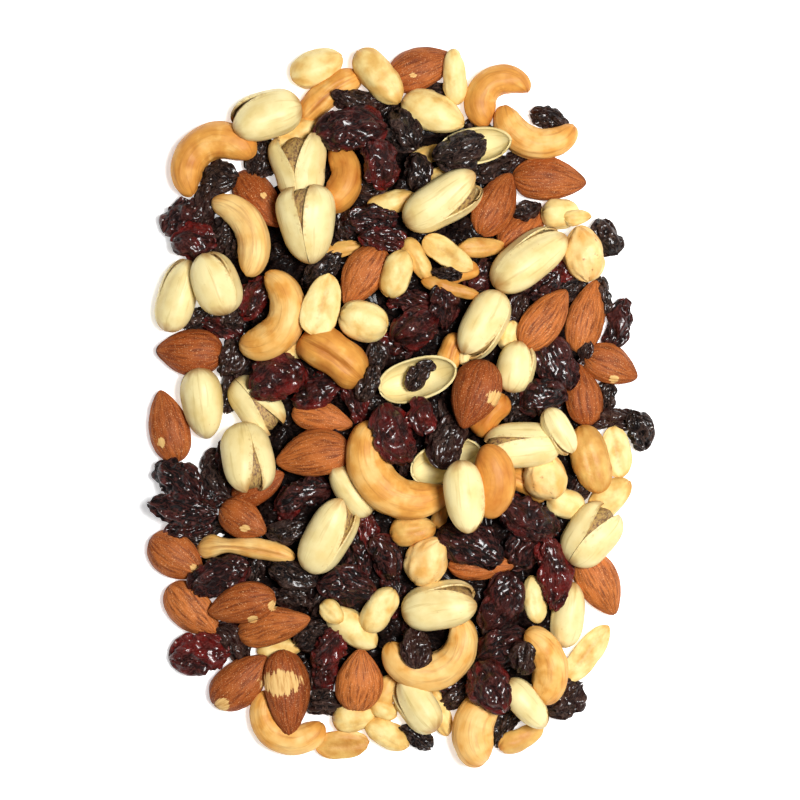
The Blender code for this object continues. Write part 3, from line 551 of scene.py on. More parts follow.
# cranberries: as the almonds, then how red, where that shows
cranberryRows = (
    (-15, 83, 5, 21.5, 15, 3, 0.4), (-6, 73, 105, 16, 12, 3, 0.7), (-66, 57, 40, 14.5, 11.5, 1, 0.15),
    (-62.5, 49.5, 0, 14, 11, 2, 0.6), (-44.5, 32.5, 60, 14, 10, 2), (-54, 23.5, -18, 13, 8, 1),
    (-37, 8.2, 20, 18, 14.5, 3, 0.75), (-25.5, 4, 15, 15, 10, 2), (-13.5, 0.5, -62, 14, 7.5, 2),
    (3, 31.5, 0, 14, 8, 2, 0.5), (13, 29.5, 100, 14, 9, 3, 0.3), (4.5, 23, 30, 15, 13, 3, 0.5),
    (-2.5, 18, -20, 13, 8, 2), (-9, 56, 5, 17, 9, 2), (-5, 49.8, -10, 15, 8, 2), (48, 42, 50, 15, 9, 1),
    (43, 36, 35, 13, 7, 1), (24, 39, 60, 11, 9, 1), (66.6, 24.8, 72, 16, 8, 1, 0.3),
    (47, 12.5, -65, 18, 13, 2, 0.25), (43, 2, 15, 15, 12, 2, 0.1), (-2, -9, -68, 19, 14, 4, 0.65),
    (6.3, -3.3, 100, 11, 9, 5, 0.7), (-67, -23.5, -35, 19, 10.5, 2, 0.0), (-66, -31.7, -8, 21, 9.5, 2, 0.0),
    (-64.5, -38, 5, 14, 6.5, 1, 0.15), (-60, -27.5, -20, 13, 8, 1, 0.0), (-53, -16, 88, 12, 7, 1),
    (-29, -27, 20, 17, 10, 2), (-34.5, -30, 80, 12, 8, 1), (-55, -52.3, 25, 20, 12, 2, 0.3),
    (-61, -76, 8, 18.5, 12, 1, 0.85), (-21.7, -74, 62, 14, 10.5, 2, 0.7), (-23, -82.3, 75, 12, 8.5, 1),
    (-16, -54.5, -8, 17.5, 12, 3), (-12.5, -46, 100, 15, 9, 2), (-9, -38.5, 100, 13, 6.5, 2),
    (-4.5, -46, -62, 15, 10, 3), (-2.5, -55, -70, 11, 6, 2), (1, -64.5, 80, 10, 6, 2),
    (21.5, -42, -25, 21, 13.5, 3, 0.05), (38.5, -34, -28, 20, 13.5, 2, 0.3), (37.5, -43, 60, 15, 12, 1),
    (46, -50.5, -82, 23.5, 10.5, 3, 0.8), (30.3, -59.5, 68, 19, 13, 2, 0.3),
    (31.5, -73.5, 20, 16.5, 13.5, 2, 0.1), (27.5, -85, -60, 17, 13.5, 3, 0.5), (15, -84, 15, 14, 8, 1),
)

# small dried fruit low between the other pieces, some of them dark fruit put where the gaps show only shade,
# as painted shade: x, y, heading, length, width
gapFruitRows = (
    (-59.5, 61.5, 75, 14, 9), (-50, 57, 30, 11, 8), (-48.5, 48, 60, 12, 8), (-61.5, 26, 40, 10, 8),
    (-52, 4, 80, 13, 7), (-46, 11.5, 60, 11, 8), (-57.5, -17.5, 60, 9, 6), (-61.5, -41.5, 0, 10, 6),
    (-55.5, -37, 20, 8, 6), (-4, 88.5, 60, 11, 8), (35, 73.5, 60, 10, 7), (12, 95.5, 0, 9, 6),
    (61.5, 33, 90, 12, 6), (54.5, -25.5, 60, 9, 7), (17, -88.5, 30, 12, 8), (-4, 40, 20, 11, 8),
    (30, -66, 40, 12, 9), (21, -76, 0, 12, 8), (-27.5, -82, 85, 9.5, 6.5),
)

# nut pieces low in the gaps: x, y, heading, length, width, how toasted
gapNutRows = ((-4.5, -87.0, 60, 11, 8, 0.50),)

# the bed that hidden pieces fill, inside the ring of pieces on the surface
coreOutline = (
    (54, 5), (56, 22), (57, 47), (35, 52), (31, 66), (31, 85), (0, 87), (-18, 84), (-29, 80),
    (-36, 68), (-52, 58), (-56, 42), (-50, 28), (-44, 14), (-42, 0), (-42, -16), (-54, -26),
    (-50, -40), (-64, -48), (-47, -66), (-32, -80), (-14, -86), (4, -82), (20, -82), (32, -90),
    (50, -80), (47, -60), (52, -44), (52, -28), (56, -10),
)

# thickness for each unit of width, in the order in which the kinds are laid
kindRows = {
    "almond": (almondRows, 0.62), "cashewBack": (cashewBackRows, 0.95), "pistachio": (pistachioRows, 0.85),
    "halfShell": (halfShellRows, 0.60), "peanut": (peanutRows, 0.85), "hazelnut": (hazelnutRows, 0.95),
    "raisin": (raisinRows, 0.75), "cranberry": (cranberryRows, 0.66),
}
# bite is how deep a piece sinks into what it rests on, and snugShare how much of it must clear that
pile = {
    "bedHeight": 10.0, "bedFullness": 2.6, "bedRoundness": 0.6, "floorSink": 0.5, "bite": 1.5,
    "steepest": 0.30, "snugShare": 0.94, "cell": 1.0, "fieldHalf": (90.0, 125.0), "seed": 7, "shellLift": 0.8,
    "bendMiddle": 0.7, "gapNutThick": 0.8, "gapFruitSink": 2.0, "gapFruitBite": 0.3,
}


def coreReach(bearing):
    # distance from the middle to the core's outline in one direction
    ux, uy = math.cos(bearing), math.sin(bearing)
    best = 0.0
    for (ax, ay), (bx, by) in zip(coreOutline, coreOutline[1:] + coreOutline[:1]):
        ex, ey = bx - ax, by - ay
        cross = ux * ey - uy * ex
        if abs(cross) < 1e-9:
            continue
        reach = (ax * ey - ay * ex) / cross
        if 0.0 <= (ax * uy - ay * ux) / cross <= 1.0:
            best = max(best, reach)
    return best


def bedTop(share):
    # height of the bed, where share runs from 0 at the middle to 1 at the outline
    if share >= 1.0:
        return 0.0
    return pile["bedHeight"] * (1.0 - share ** pile["bedFullness"]) ** pile["bedRoundness"]


def makeField():
    # a height for every square millimetre, to settle the pieces on
    columns = np.arange(-pile["fieldHalf"][0], pile["fieldHalf"][0] + pile["cell"], pile["cell"])
    rows = np.arange(-pile["fieldHalf"][1], pile["fieldHalf"][1] + pile["cell"], pile["cell"])
    across, along = np.meshgrid(columns, rows)
    height = np.zeros_like(across)
    reaches = [coreReach(math.radians(step)) for step in range(360)]
    for index in np.ndindex(across.shape):
        bearing = int(math.degrees(math.atan2(along[index], across[index])) % 360.0) % 360
        height[index] = bedTop(math.hypot(across[index], along[index]) / reaches[bearing])
    return across, along, height


def settle(field, piece):
    # slope the piece like what it rests on, lower it until it bites, and raise the field to its top
    dx, dy = field[0] - piece["x"], field[1] - piece["y"]
    if piece["kind"] == "cashew":
        bx, by = field[0] - piece["bendX"], field[1] - piece["bendY"]
        bearing = (np.degrees(np.arctan2(by, bx)) - piece["back"] + 180.0) % 360.0 - 180.0
        across = (np.hypot(bx, by) - piece["radius"]) / (piece["thick"] / 2.0)
        cover = across ** 2 + np.abs(bearing / (piece["sweep"] / 2.0)) ** 5
    else:
        turn = math.radians(piece["heading"])
        lengthwise = dx * math.cos(turn) + dy * math.sin(turn)
        sideways = -dx * math.sin(turn) + dy * math.cos(turn)
        cover = (2.0 * lengthwise / piece["length"]) ** 2 + (2.0 * sideways / piece["width"]) ** 2
    inside = cover < 1.0
    half = piece["thick"] / 2.0
    bulge = half * np.sqrt(1.0 - cover[inside])
    dx, dy, ground = dx[inside], dy[inside], field[2][inside]
    plane = np.column_stack((dx, dy, np.ones_like(dx)))
    slopeX, slopeY, _ = np.linalg.lstsq(plane, ground, rcond=None)[0]
    steepness = math.hypot(slopeX, slopeY)
    if steepness > pile["steepest"]:
        slopeX *= pile["steepest"] / steepness
        slopeY *= pile["steepest"] / steepness
    sloped = slopeX * dx + slopeY * dy
    lift = float(np.quantile(ground - sloped + bulge, pile["snugShare"])) - pile["bite"]
    lift = max(lift, half - pile["floorSink"])
    if piece["kind"] == "halfShell":
        lift += pile["shellLift"]
    if piece["kind"] == "raisin" and piece["extra"]:
        lift += piece["extra"][0]
    rise = 0.0 if piece["kind"] == "halfShell" else 1.0
    field[2][inside] = np.maximum(ground, lift + sloped + rise * bulge)
    piece["z"] = lift
    piece["slope"] = (slopeX, slopeY)


def layPieces():
    pieces = []
    for kind, (rows, thickness) in kindRows.items():
        for x, y, heading, length, width, tier, *extra in rows:
            pieces.append({
                "kind": kind, "x": x, "y": y, "heading": heading, "length": length, "width": width,
                "thick": width * thickness, "tier": tier, "extra": extra,
            })
    for bendX, bendY, radius, back, sweep, thick, tier, toast in cashewRows:
        middle = math.radians(back)
        pieces.append({
            "kind": "cashew", "bendX": bendX, "bendY": bendY, "radius": radius, "back": back,
            "sweep": sweep, "thick": thick, "tier": tier, "heading": 0.0, "extra": [toast],
            "length": math.radians(sweep) * radius, "width": thick,
            "x": bendX + pile["bendMiddle"] * radius * math.cos(middle),
            "y": bendY + pile["bendMiddle"] * radius * math.sin(middle),
        })
    pieces.sort(key=lambda piece: piece["tier"])
    field = makeField()
    for number, piece in enumerate(pieces):
        piece["draw"] = random.Random(pile["seed"] * 1000 + number)
        settle(field, piece)
    for x, y, heading, length, width, toast in gapNutRows:
        thick = pile["gapNutThick"] * width
        pieces.append({
            "kind": "peanut", "x": x, "y": y, "z": thick / 2.0, "heading": heading, "length": length,
            "width": width, "thick": thick, "slope": (0.0, 0.0), "extra": [toast, 0],
            "draw": random.Random(pile["seed"]),
        })
    return pieces, field


pieces, field = layPieces()
print("pieces settled:", len(pieces), "top at", round(float(field[2].max()), 1), "mm")


# Shapes: every piece starts as rings of points from base (u = -1) to tip (u = 1), phi round its length

def ringGrid(stations, around, start=0.0, end=2.0 * math.pi, closed=True):
    # u and phi of each point: one point at each end, and the rings between them
    turns = np.linspace(start, end, around, endpoint=not closed)
    u = [-1.0]
    phi = [0.0]
    for step in range(1, stations):
        u.extend([-math.cos(math.pi * step / stations)] * around)
        phi.extend(turns)
    return np.array(u + [1.0]), np.array(phi + [0.0])


def ringFaces(stations, around, closed=True):
    faces = []
    wrap = around if closed else around - 1
    last = 1 + (stations - 1) * around
    for i in range(wrap):
        j = (i + 1) % around
        faces.append((0, 1 + j, 1 + i))
        faces.append((last, last - around + i, last - around + j))
    for ring in range(stations - 2):
        low = 1 + ring * around
        for i in range(wrap):
            j = (i + 1) % around
            faces.append((low + i, low + j, low + around + j, low + around + i))
    return faces


def bluntEnd(u, power):
    return (1.0 - np.abs(u) ** power) ** 0.5


# in the forms below a number is a share of the piece's own size, unless a note says otherwise
almondForm = {"skew": 0.05, "taper": 0.20, "tipTaper": 0.22, "flatness": 1.12}


def almondShape(u, phi, piece):
    form = almondForm
    skew = piece["draw"].uniform(-form["skew"], form["skew"]) * piece["length"]
    ring = np.sqrt(1.0 - u ** 2) * (1.0 - form["taper"] * u - form["tipTaper"] * np.maximum(u, 0.0) ** 2)
    side, rise = np.cos(phi), np.sin(phi)
    rise = np.sign(rise) * np.abs(rise) ** form["flatness"]
    return np.column_stack((
        u * piece["length"] / 2.0,
        side * ring * piece["width"] / 2.0 + skew * (u ** 2 - 0.5) * (1.0 - u ** 2),
        rise * ring * piece["thick"] / 2.0,
    ))


# lean thickens one end, and the crease runs along the inner and outer sides of the bend
cashewForm = {
    "lean": (0.06, 0.14), "crease": 0.09, "creaseWidth": 0.20, "ends": 0.88, "middle": 0.20, "blunt": 5.5,
    "height": 0.96,
}


def cashewShape(u, phi, piece):
    draw, form = piece["draw"], cashewForm
    lean = draw.choice((-1.0, 1.0)) * draw.uniform(*form["lean"])
    side, rise = np.cos(phi), np.sin(phi)
    crease = 1.0 - form["crease"] * np.exp(-(rise / form["creaseWidth"]) ** 2)
    fullness = form["ends"] + form["middle"] * (1.0 - u ** 2)
    half = piece["thick"] / 2.0 * bluntEnd(u, form["blunt"]) * (1.0 + lean * u) * crease * fullness
    bearing = np.radians(piece["back"] + u * piece["sweep"] / 2.0)
    reach = piece["radius"] + half * side
    return np.column_stack((
        piece["bendX"] + reach * np.cos(bearing) - piece["x"],
        piece["bendY"] + reach * np.sin(bearing) - piece["y"],
        half * rise * form["height"],
    ))


# waist, swell and neck are each a height, a place along u and a width; the seam's place and width are in phi
cashewBackForm = {
    "seamPlace": 1.75, "seamWidth": 0.14, "seamDepth": 0.20, "blunt": 3.8, "waist": (0.10, 0.1, 0.4),
    "swell": (0.25, -0.8, 0.22), "neck": (0.18, -0.35, 0.25), "bow": 0.06, "bowMiddle": 0.4, "droop": 0.05,
}


def roundedRise(u, height, place, width):
    return height * np.exp(-((u - place) / width) ** 2)


def cashewBackShape(u, phi, piece):
    form = cashewBackForm
    side, rise = np.cos(phi), np.sin(phi)
    piece["seam"] = np.exp(-((phi - form["seamPlace"]) / form["seamWidth"]) ** 2) * (1.0 - u ** 2)
    ring = bluntEnd(u, form["blunt"]) * (1.0 - form["seamDepth"] * piece["seam"])
    swell = piece["extra"][1] if len(piece["extra"]) > 1 else 0.0
    waist = 1.0 - roundedRise(u, *form["waist"])
    waist = waist + swell * (roundedRise(u, *form["swell"]) - roundedRise(u, *form["neck"]))
    bow = form["bow"] * piece["length"] * (form["bowMiddle"] - u ** 2)
    return np.column_stack((
        u * piece["length"] / 2.0,
        side * ring * waist * piece["width"] / 2.0 + bow,
        rise * ring * piece["thick"] / 2.0 - form["droop"] * piece["length"] * u ** 2,
    ))


# a half with its flat face up has a groove, whose width and depth are millimetres; split is the place in
# phi where the two halves of a whole one meet
peanutForm = {
    "split": (0.7, 2.4), "blunt": (2.3, 3.0), "taper": (0.0, 0.22), "grooveWidth": 1.1, "grooveDepth": 0.7,
    "flatRise": 0.34, "rimFrom": -0.2, "rimWidth": 0.28, "seamWidth": 0.15, "seamDepth": 0.10,
    "seamMost": 0.7,
}


def peanutShape(u, phi, piece):
    flat, draw, form = piece["extra"][1], piece["draw"], peanutForm
    side, rise = np.cos(phi), np.sin(phi)
    split = draw.uniform(*form["split"])
    ring = bluntEnd(u, draw.uniform(*form["blunt"])) * (1.0 - draw.uniform(*form["taper"]) * u)
    z = rise * ring * piece["thick"] / 2.0
    y = side * ring * piece["width"] / 2.0
    if flat:
        groove = form["grooveDepth"] * (np.exp(-(y / form["grooveWidth"]) ** 2) * (1.0 - u ** 2))
        z = np.where(rise > 0.0, form["flatRise"] * z - groove, z)
        rim = np.exp(-(rise / form["rimWidth"]) ** 2)
        piece["seam"] = np.where(rise > form["rimFrom"], np.maximum(groove, rim), 0.0)
    else:
        piece["seam"] = np.exp(-((phi - split) / form["seamWidth"]) ** 2) * (1.0 - u ** 2)
        z = z * (1.0 - form["seamDepth"] * piece["seam"])
        piece["seam"] = draw.uniform(0.0, form["seamMost"]) * piece["seam"]
    return np.column_stack((u * piece["length"] / 2.0, y, z))


hazelnutForm = {"taper": 0.06, "lobes": 3.0, "lobeRise": 0.05, "tip": 0.04}


def hazelnutShape(u, phi, piece):
    form = hazelnutForm
    ring = np.sqrt(1.0 - u ** 2) * (1.0 - form["taper"] * u)
    lobes = 1.0 + form["lobeRise"] * np.cos(form["lobes"] * phi + 1.0 + u) * (1.0 - u ** 2)
    return np.column_stack((
        u * piece["length"] / 2.0 + form["tip"] * piece["length"] * np.maximum(u, 0.0) ** 6,
        np.cos(phi) * ring * lobes * piece["width"] / 2.0,
        np.sin(phi) * ring * lobes * piece["thick"] / 2.0,
    ))


# lobes are how many waves run round the fruit, and each set starts and twists by its own draw, in radians
driedForm = {
    "blunt": 2.3, "lobes": (2, 3, 5), "lobeRise": (0.05, 0.13), "lobeStart": (0.0, 6.3), "lobeTwist": 1.5,
    "bow": 0.08,
}


def driedShape(u, phi, piece):
    draw, form = piece["draw"], driedForm
    ring = bluntEnd(u, form["blunt"])
    lobes = 1.0
    for waves in form["lobes"]:
        rise = draw.uniform(*form["lobeRise"]) / (waves / 2.0)
        start = draw.uniform(*form["lobeStart"])
        twist = draw.uniform(-form["lobeTwist"], form["lobeTwist"])
        lobes = lobes + rise * np.cos(waves * phi + start + twist * u)
    bow = draw.uniform(-form["bow"], form["bow"]) * piece["length"]
    return np.column_stack((
        u * piece["length"] / 2.0,
        np.cos(phi) * ring * lobes * piece["width"] / 2.0 + bow * (0.5 - u ** 2),
        np.sin(phi) * ring * lobes * piece["thick"] / 2.0,
    ))


# the lip is the low ridge along the split, with a groove behind it: heights in millimetres, widths and places
# in degrees from the rim; the split opens from openFrom to the tip
shellWall = {
    "thick": 0.95, "stations": 28, "around": 25, "blunt": 2.5, "beak": 0.02, "lip": 0.30, "lipWidth": 7.0,
    "groove": 0.24, "groovePlace": 16.0, "closedLip": 0.4, "tintWidth": 9.0, "closedTint": 0.35,
    "openFrom": -0.25, "openCurve": 1.35, "closedGap": 0.05, "taper": 0.10,
}


def shellShape(u, phi, half, taper):
    # half is (length, width, height) of the whole closed nut; phi -90 to 90 gives its left half
    ring = bluntEnd(u, shellWall["blunt"]) * (1.0 - taper * u)
    beak = shellWall["beak"] * half[0] * np.maximum(u * np.sign(taper), 0.0) ** 12 * np.sign(taper)
    return np.column_stack((
        u * half[0] / 2.0 + beak, np.cos(phi) * ring * half[1] / 2.0, np.sin(phi) * ring * half[2] / 2.0,
    ))


def openShare(u):
    # 0 where the split is closed, by the base, to 1 at the tip
    return np.clip((u - shellWall["openFrom"]) / (1.0 - shellWall["openFrom"]), 0.0, 1.0)


def lipRise(u, phi):
    # how far the outer wall stands out near its edge
    fromEdge = 90.0 - np.degrees(np.abs(phi))
    ridge = shellWall["lip"] * np.exp(-(fromEdge / shellWall["lipWidth"]) ** 2)
    dip = shellWall["groove"] * np.exp(-((fromEdge - shellWall["groovePlace"]) / shellWall["lipWidth"]) ** 2)
    closed = shellWall["closedLip"]
    return (ridge - dip) * (1.0 - u ** 2) ** 0.4 * (closed + (1.0 - closed) * openShare(u) ** 0.5)


def lipShare(u, phi):
    # 1 on the lips of the open part, falling to 0 behind them, and fainter where the split is closed
    fromEdge = 90.0 - np.degrees(np.abs(phi))
    closed = shellWall["closedTint"]
    return np.exp(-(fromEdge / shellWall["tintWidth"]) ** 2) * (closed + (1.0 - closed) * openShare(u) ** 0.5)


def splitGap(u, length, gape):
    # half the width of the split at each point
    widest = length * math.sin(math.radians(gape / 2.0))
    return shellWall["closedGap"] + widest * openShare(u) ** shellWall["openCurve"]


def shellHalf(size, wall, taper):
    # outer and inner walls of half a shell, joined round the rim, with its points crowded towards the rim
    stations, around = shellWall["stations"], shellWall["around"]
    u, phi = ringGrid(stations, around, -1.0, 1.0, closed=False)
    phi = (1.5 * phi - 0.5 * phi ** 3) * math.pi / 2.0
    outer = shellShape(u, phi, size, taper)
    rise = lipRise(u, phi)
    outer[:, 1] += rise * np.cos(phi)
    outer[:, 2] += rise * np.sin(phi)
    inner = shellShape(u, phi, [side - 2.0 * wall for side in size], taper)
    points = np.vstack((outer, inner))
    count = len(outer)
    faces = list(ringFaces(stations, around, closed=False))
    faces += [tuple(count + corner for corner in reversed(face)) for face in faces]
    last = count - 1
    for edge in (0, around - 1):
        rim = [0] + [1 + ring * around + edge for ring in range(stations - 1)] + [last]
        for a, b in zip(rim, rim[1:]):
            faces.append((a, b, count + b, count + a))
    return points, faces, np.concatenate((u, u)), np.concatenate((phi, phi))


# Placing: turn, slope and lift each piece, and gather every kind in one mesh

class Gathered:
    # points, faces and what the materials read of them
    def __init__(self):
        self.points, self.faces = [], []
        self.grain, self.tone, self.along, self.mark = [], [], [], []
        self.count = 0

    def add(self, placed, faces, grain, tone, along, mark=None):
        self.points.append(placed)
        self.faces.extend(tuple(self.count + corner for corner in face) for face in faces)
        self.grain.append(grain)
        self.tone.append(np.full(len(placed), tone))
        self.along.append(along)
        self.mark.append(np.zeros(len(placed)) if mark is None else mark)
        self.count += len(placed)


def turned(points, piece, roll=0.0):
    # local millimetres to their place in the heap
    slopeX, slopeY = piece["slope"]
    upright = Vector((-slopeX, -slopeY, 1.0)).normalized()
    lean = Vector((0.0, 0.0, 1.0)).rotation_difference(upright).to_matrix()
    turn = lean @ Matrix.Rotation(math.radians(piece["heading"]), 3, "Z")
    turn = turn @ Matrix.Rotation(math.radians(roll), 3, "X")
    return points @ np.array(turn).T + np.array((piece["x"], piece["y"], piece["z"]))


grainApart = 400.0


def grainOf(u, phi, piece):
    # millimetres along and round the piece, moved apart from every other piece's
    draw = piece["draw"]
    offset = np.array([draw.uniform(0.0, grainApart) for _ in range(3)])
    half = piece["width"] / 2.0
    return np.column_stack((u * piece["length"] / 2.0, np.cos(phi) * half, np.sin(phi) * half)) + offset


def chipShare(placed):
    # 1 in the middle of a torn patch of skin, falling to 0 round it
    share = np.zeros(len(placed))
    for x, y, wide, deep in almondChips:
        reach = np.hypot((placed[:, 0] - x) / wide, (placed[:, 1] - y) / deep)
        share = np.maximum(share, np.clip(1.25 - 0.75 * reach, 0.0, 1.0))
    return share


def rimShare(u, phi):
    # 1 along a dried fruit's two sides and at its ends, 0 on its top
    return np.maximum(np.abs(np.cos(phi)) ** 4, np.abs(u) ** 6)


def meshObject(name, gathered):
    mesh = bpy.data.meshes.new(name)
    mesh.from_pydata((np.vstack(gathered.points) * mm).tolist(), [], gathered.faces)
    shape = bmesh.new()
    shape.from_mesh(mesh)
    bmesh.ops.recalc_face_normals(shape, faces=shape.faces)
    shape.to_mesh(mesh)
    shape.free()
    grain = mesh.attributes.new("grain", "FLOAT_VECTOR", "POINT")
    grain.data.foreach_set("vector", np.vstack(gathered.grain).ravel())
    for label, values in (("tone", gathered.tone), ("along", gathered.along), ("mark", gathered.mark)):
        layer = mesh.attributes.new(label, "FLOAT", "POINT")
        layer.data.foreach_set("value", np.concatenate(values))
    mesh.shade_smooth()
    item = bpy.data.objects.new(name, mesh)
    bpy.context.scene.collection.objects.link(item)
    return item


# rings from end to end, and points round each ring
meshSizes = {
    "almond": (40, 44), "cashew": (56, 36), "cashewBack": (48, 48), "peanut": (34, 44),
    "hazelnut": (40, 44), "raisin": (42, 48), "cranberry": (42, 46), "kernel": (18, 22), "gapFruit": (34, 40),
}
shapeOf = {
    "almond": almondShape, "cashew": cashewShape, "cashewBack": cashewBackShape, "peanut": peanutShape,
    "hazelnut": hazelnutShape, "raisin": driedShape, "cranberry": driedShape,
}
meshOf = {"cashewBack": "cashew"}
rimGlow = {"fruit": 0.4, "gapFruit": 0.5}


def gatherSolid(kind):
    gathered = Gathered()
    for piece in pieces:
        if meshOf.get(piece["kind"], piece["kind"]) != kind:
            continue
        stations, around = meshSizes[piece["kind"]]
        u, phi = ringGrid(stations, around)
        placed = turned(shapeOf[piece["kind"]](u, phi, piece), piece)
        given = piece["extra"] and kind in ("cashew", "peanut", "cranberry")
        tone = piece["extra"][0] if given else piece["draw"].uniform(0.0, 1.0)
        mark = chipShare(placed) if kind == "almond" else piece.get("seam")
        along = rimGlow["fruit"] * rimShare(u, phi) if kind in ("raisin", "cranberry") else u
        gathered.add(placed, ringFaces(stations, around), grainOf(u, phi, piece), tone, along, mark)
    return gathered


# an empty half lies on its back: shares of its own depth, then of the stains that a whole shell has
emptyHalf = {"wall": 0.7, "depth": 1.7, "sink": 0.9, "taper": 0.05, "endStain": 0.5, "lipStain": 0.3}
# how much of the shell the kernel fills, how far it swells into the split, and how far it sits to the tip
kernelFit = {"share": 0.88, "taller": 0.04, "swell": 1.2, "swellPlace": 0.4, "forward": 0.02}


def gatherPistachios():
    # both halves of each shell, hinged at the base, with the kernel between them, and the empty halves
    shells, kernels = Gathered(), Gathered()
    for piece in pieces:
        if piece["kind"] not in ("pistachio", "halfShell"):
            continue
        size = [piece["length"], piece["width"], piece["thick"]]
        if piece["kind"] == "halfShell":
            empty = emptyHalf
            points, faces, u, phi = shellHalf(
                (size[0], size[2] * empty["depth"], size[1]), empty["wall"], empty["taper"],
            )
            points[:, 1] -= 0.5 * piece["thick"] * empty["sink"]
            grain = grainOf(u, phi, piece)
            tone = piece["draw"].uniform(0.0, 1.0)
            shells.add(
                turned(points, piece, roll=-90.0), faces, grain, tone,
                empty["endStain"] * u, empty["lipStain"] * lipShare(u, phi),
            )
            continue
        roll, gape, *odd = piece["extra"]
        taper = odd[0] if odd else shellWall["taper"]
        own = size[1] - 2.0 * float(splitGap(0.0, size[0], gape)) * abs(math.cos(math.radians(roll)))
        tone = piece["draw"].uniform(0.0, 1.0)
        for side in (1.0, -1.0):
            points, faces, u, phi = shellHalf((size[0], own, size[2]), shellWall["thick"], taper)
            grain = grainOf(u, phi, piece)
            points[:, 1] = side * (points[:, 1] + splitGap(u, size[0], gape))
            shells.add(turned(points, piece, roll), faces, grain, tone, u, lipShare(u, phi))
        stations, around = meshSizes["kernel"]
        u, phi = ringGrid(stations, around)
        share = kernelFit["share"]
        swell = kernelFit["swell"] * float(splitGap(kernelFit["swellPlace"], size[0], gape))
        points = shellShape(u, phi, (
            size[0] * share, (own + swell) * share, size[2] * (share + kernelFit["taller"]),
        ), taper)
        points[:, 0] += kernelFit["forward"] * size[0]
        faces = ringFaces(stations, around)
        kernels.add(turned(points, piece, roll), faces, grainOf(u, phi, piece), tone, u)
    return shells, kernels


def gatherGapFruit():
    # small raisins at the bottom of the gaps, on the surface or sunk in the bed
    gathered = Gathered()
    draw = random.Random(pile["seed"])
    for x, y, heading, length, width in gapFruitRows:
        share = math.hypot(x, y) / coreReach(math.atan2(y, x))
        thick = kindRows["raisin"][1] * width
        low = max(bedTop(share) - pile["gapFruitSink"], 0.0)
        piece = {
            "x": x, "y": y, "z": low + thick / 2.0 - pile["gapFruitBite"], "heading": heading,
            "length": length, "width": width, "thick": thick, "slope": (0.0, 0.0), "draw": draw,
        }
        u, phi = ringGrid(*meshSizes["gapFruit"])
        placed = turned(driedShape(u, phi, piece), piece)
        faces = ringFaces(*meshSizes["gapFruit"])
        grain = grainOf(u, phi, piece)
        gathered.add(placed, faces, grain, draw.uniform(0.0, 1.0), rimGlow["gapFruit"] * rimShare(u, phi))
    return gathered


# Geometry Nodes: wrinkles, folds and pores that follow each piece's own grain

# a fold's valley is as wide as the noise takes to move this far from its middle, and the crests rise above
# crestMiddle while the valleys sink below it, so that the piece keeps its size
wrinkleForm = {"roughness": 0.45, "distortion": 0.5, "valleyWidth": 0.16, "crestMiddle": 0.7}


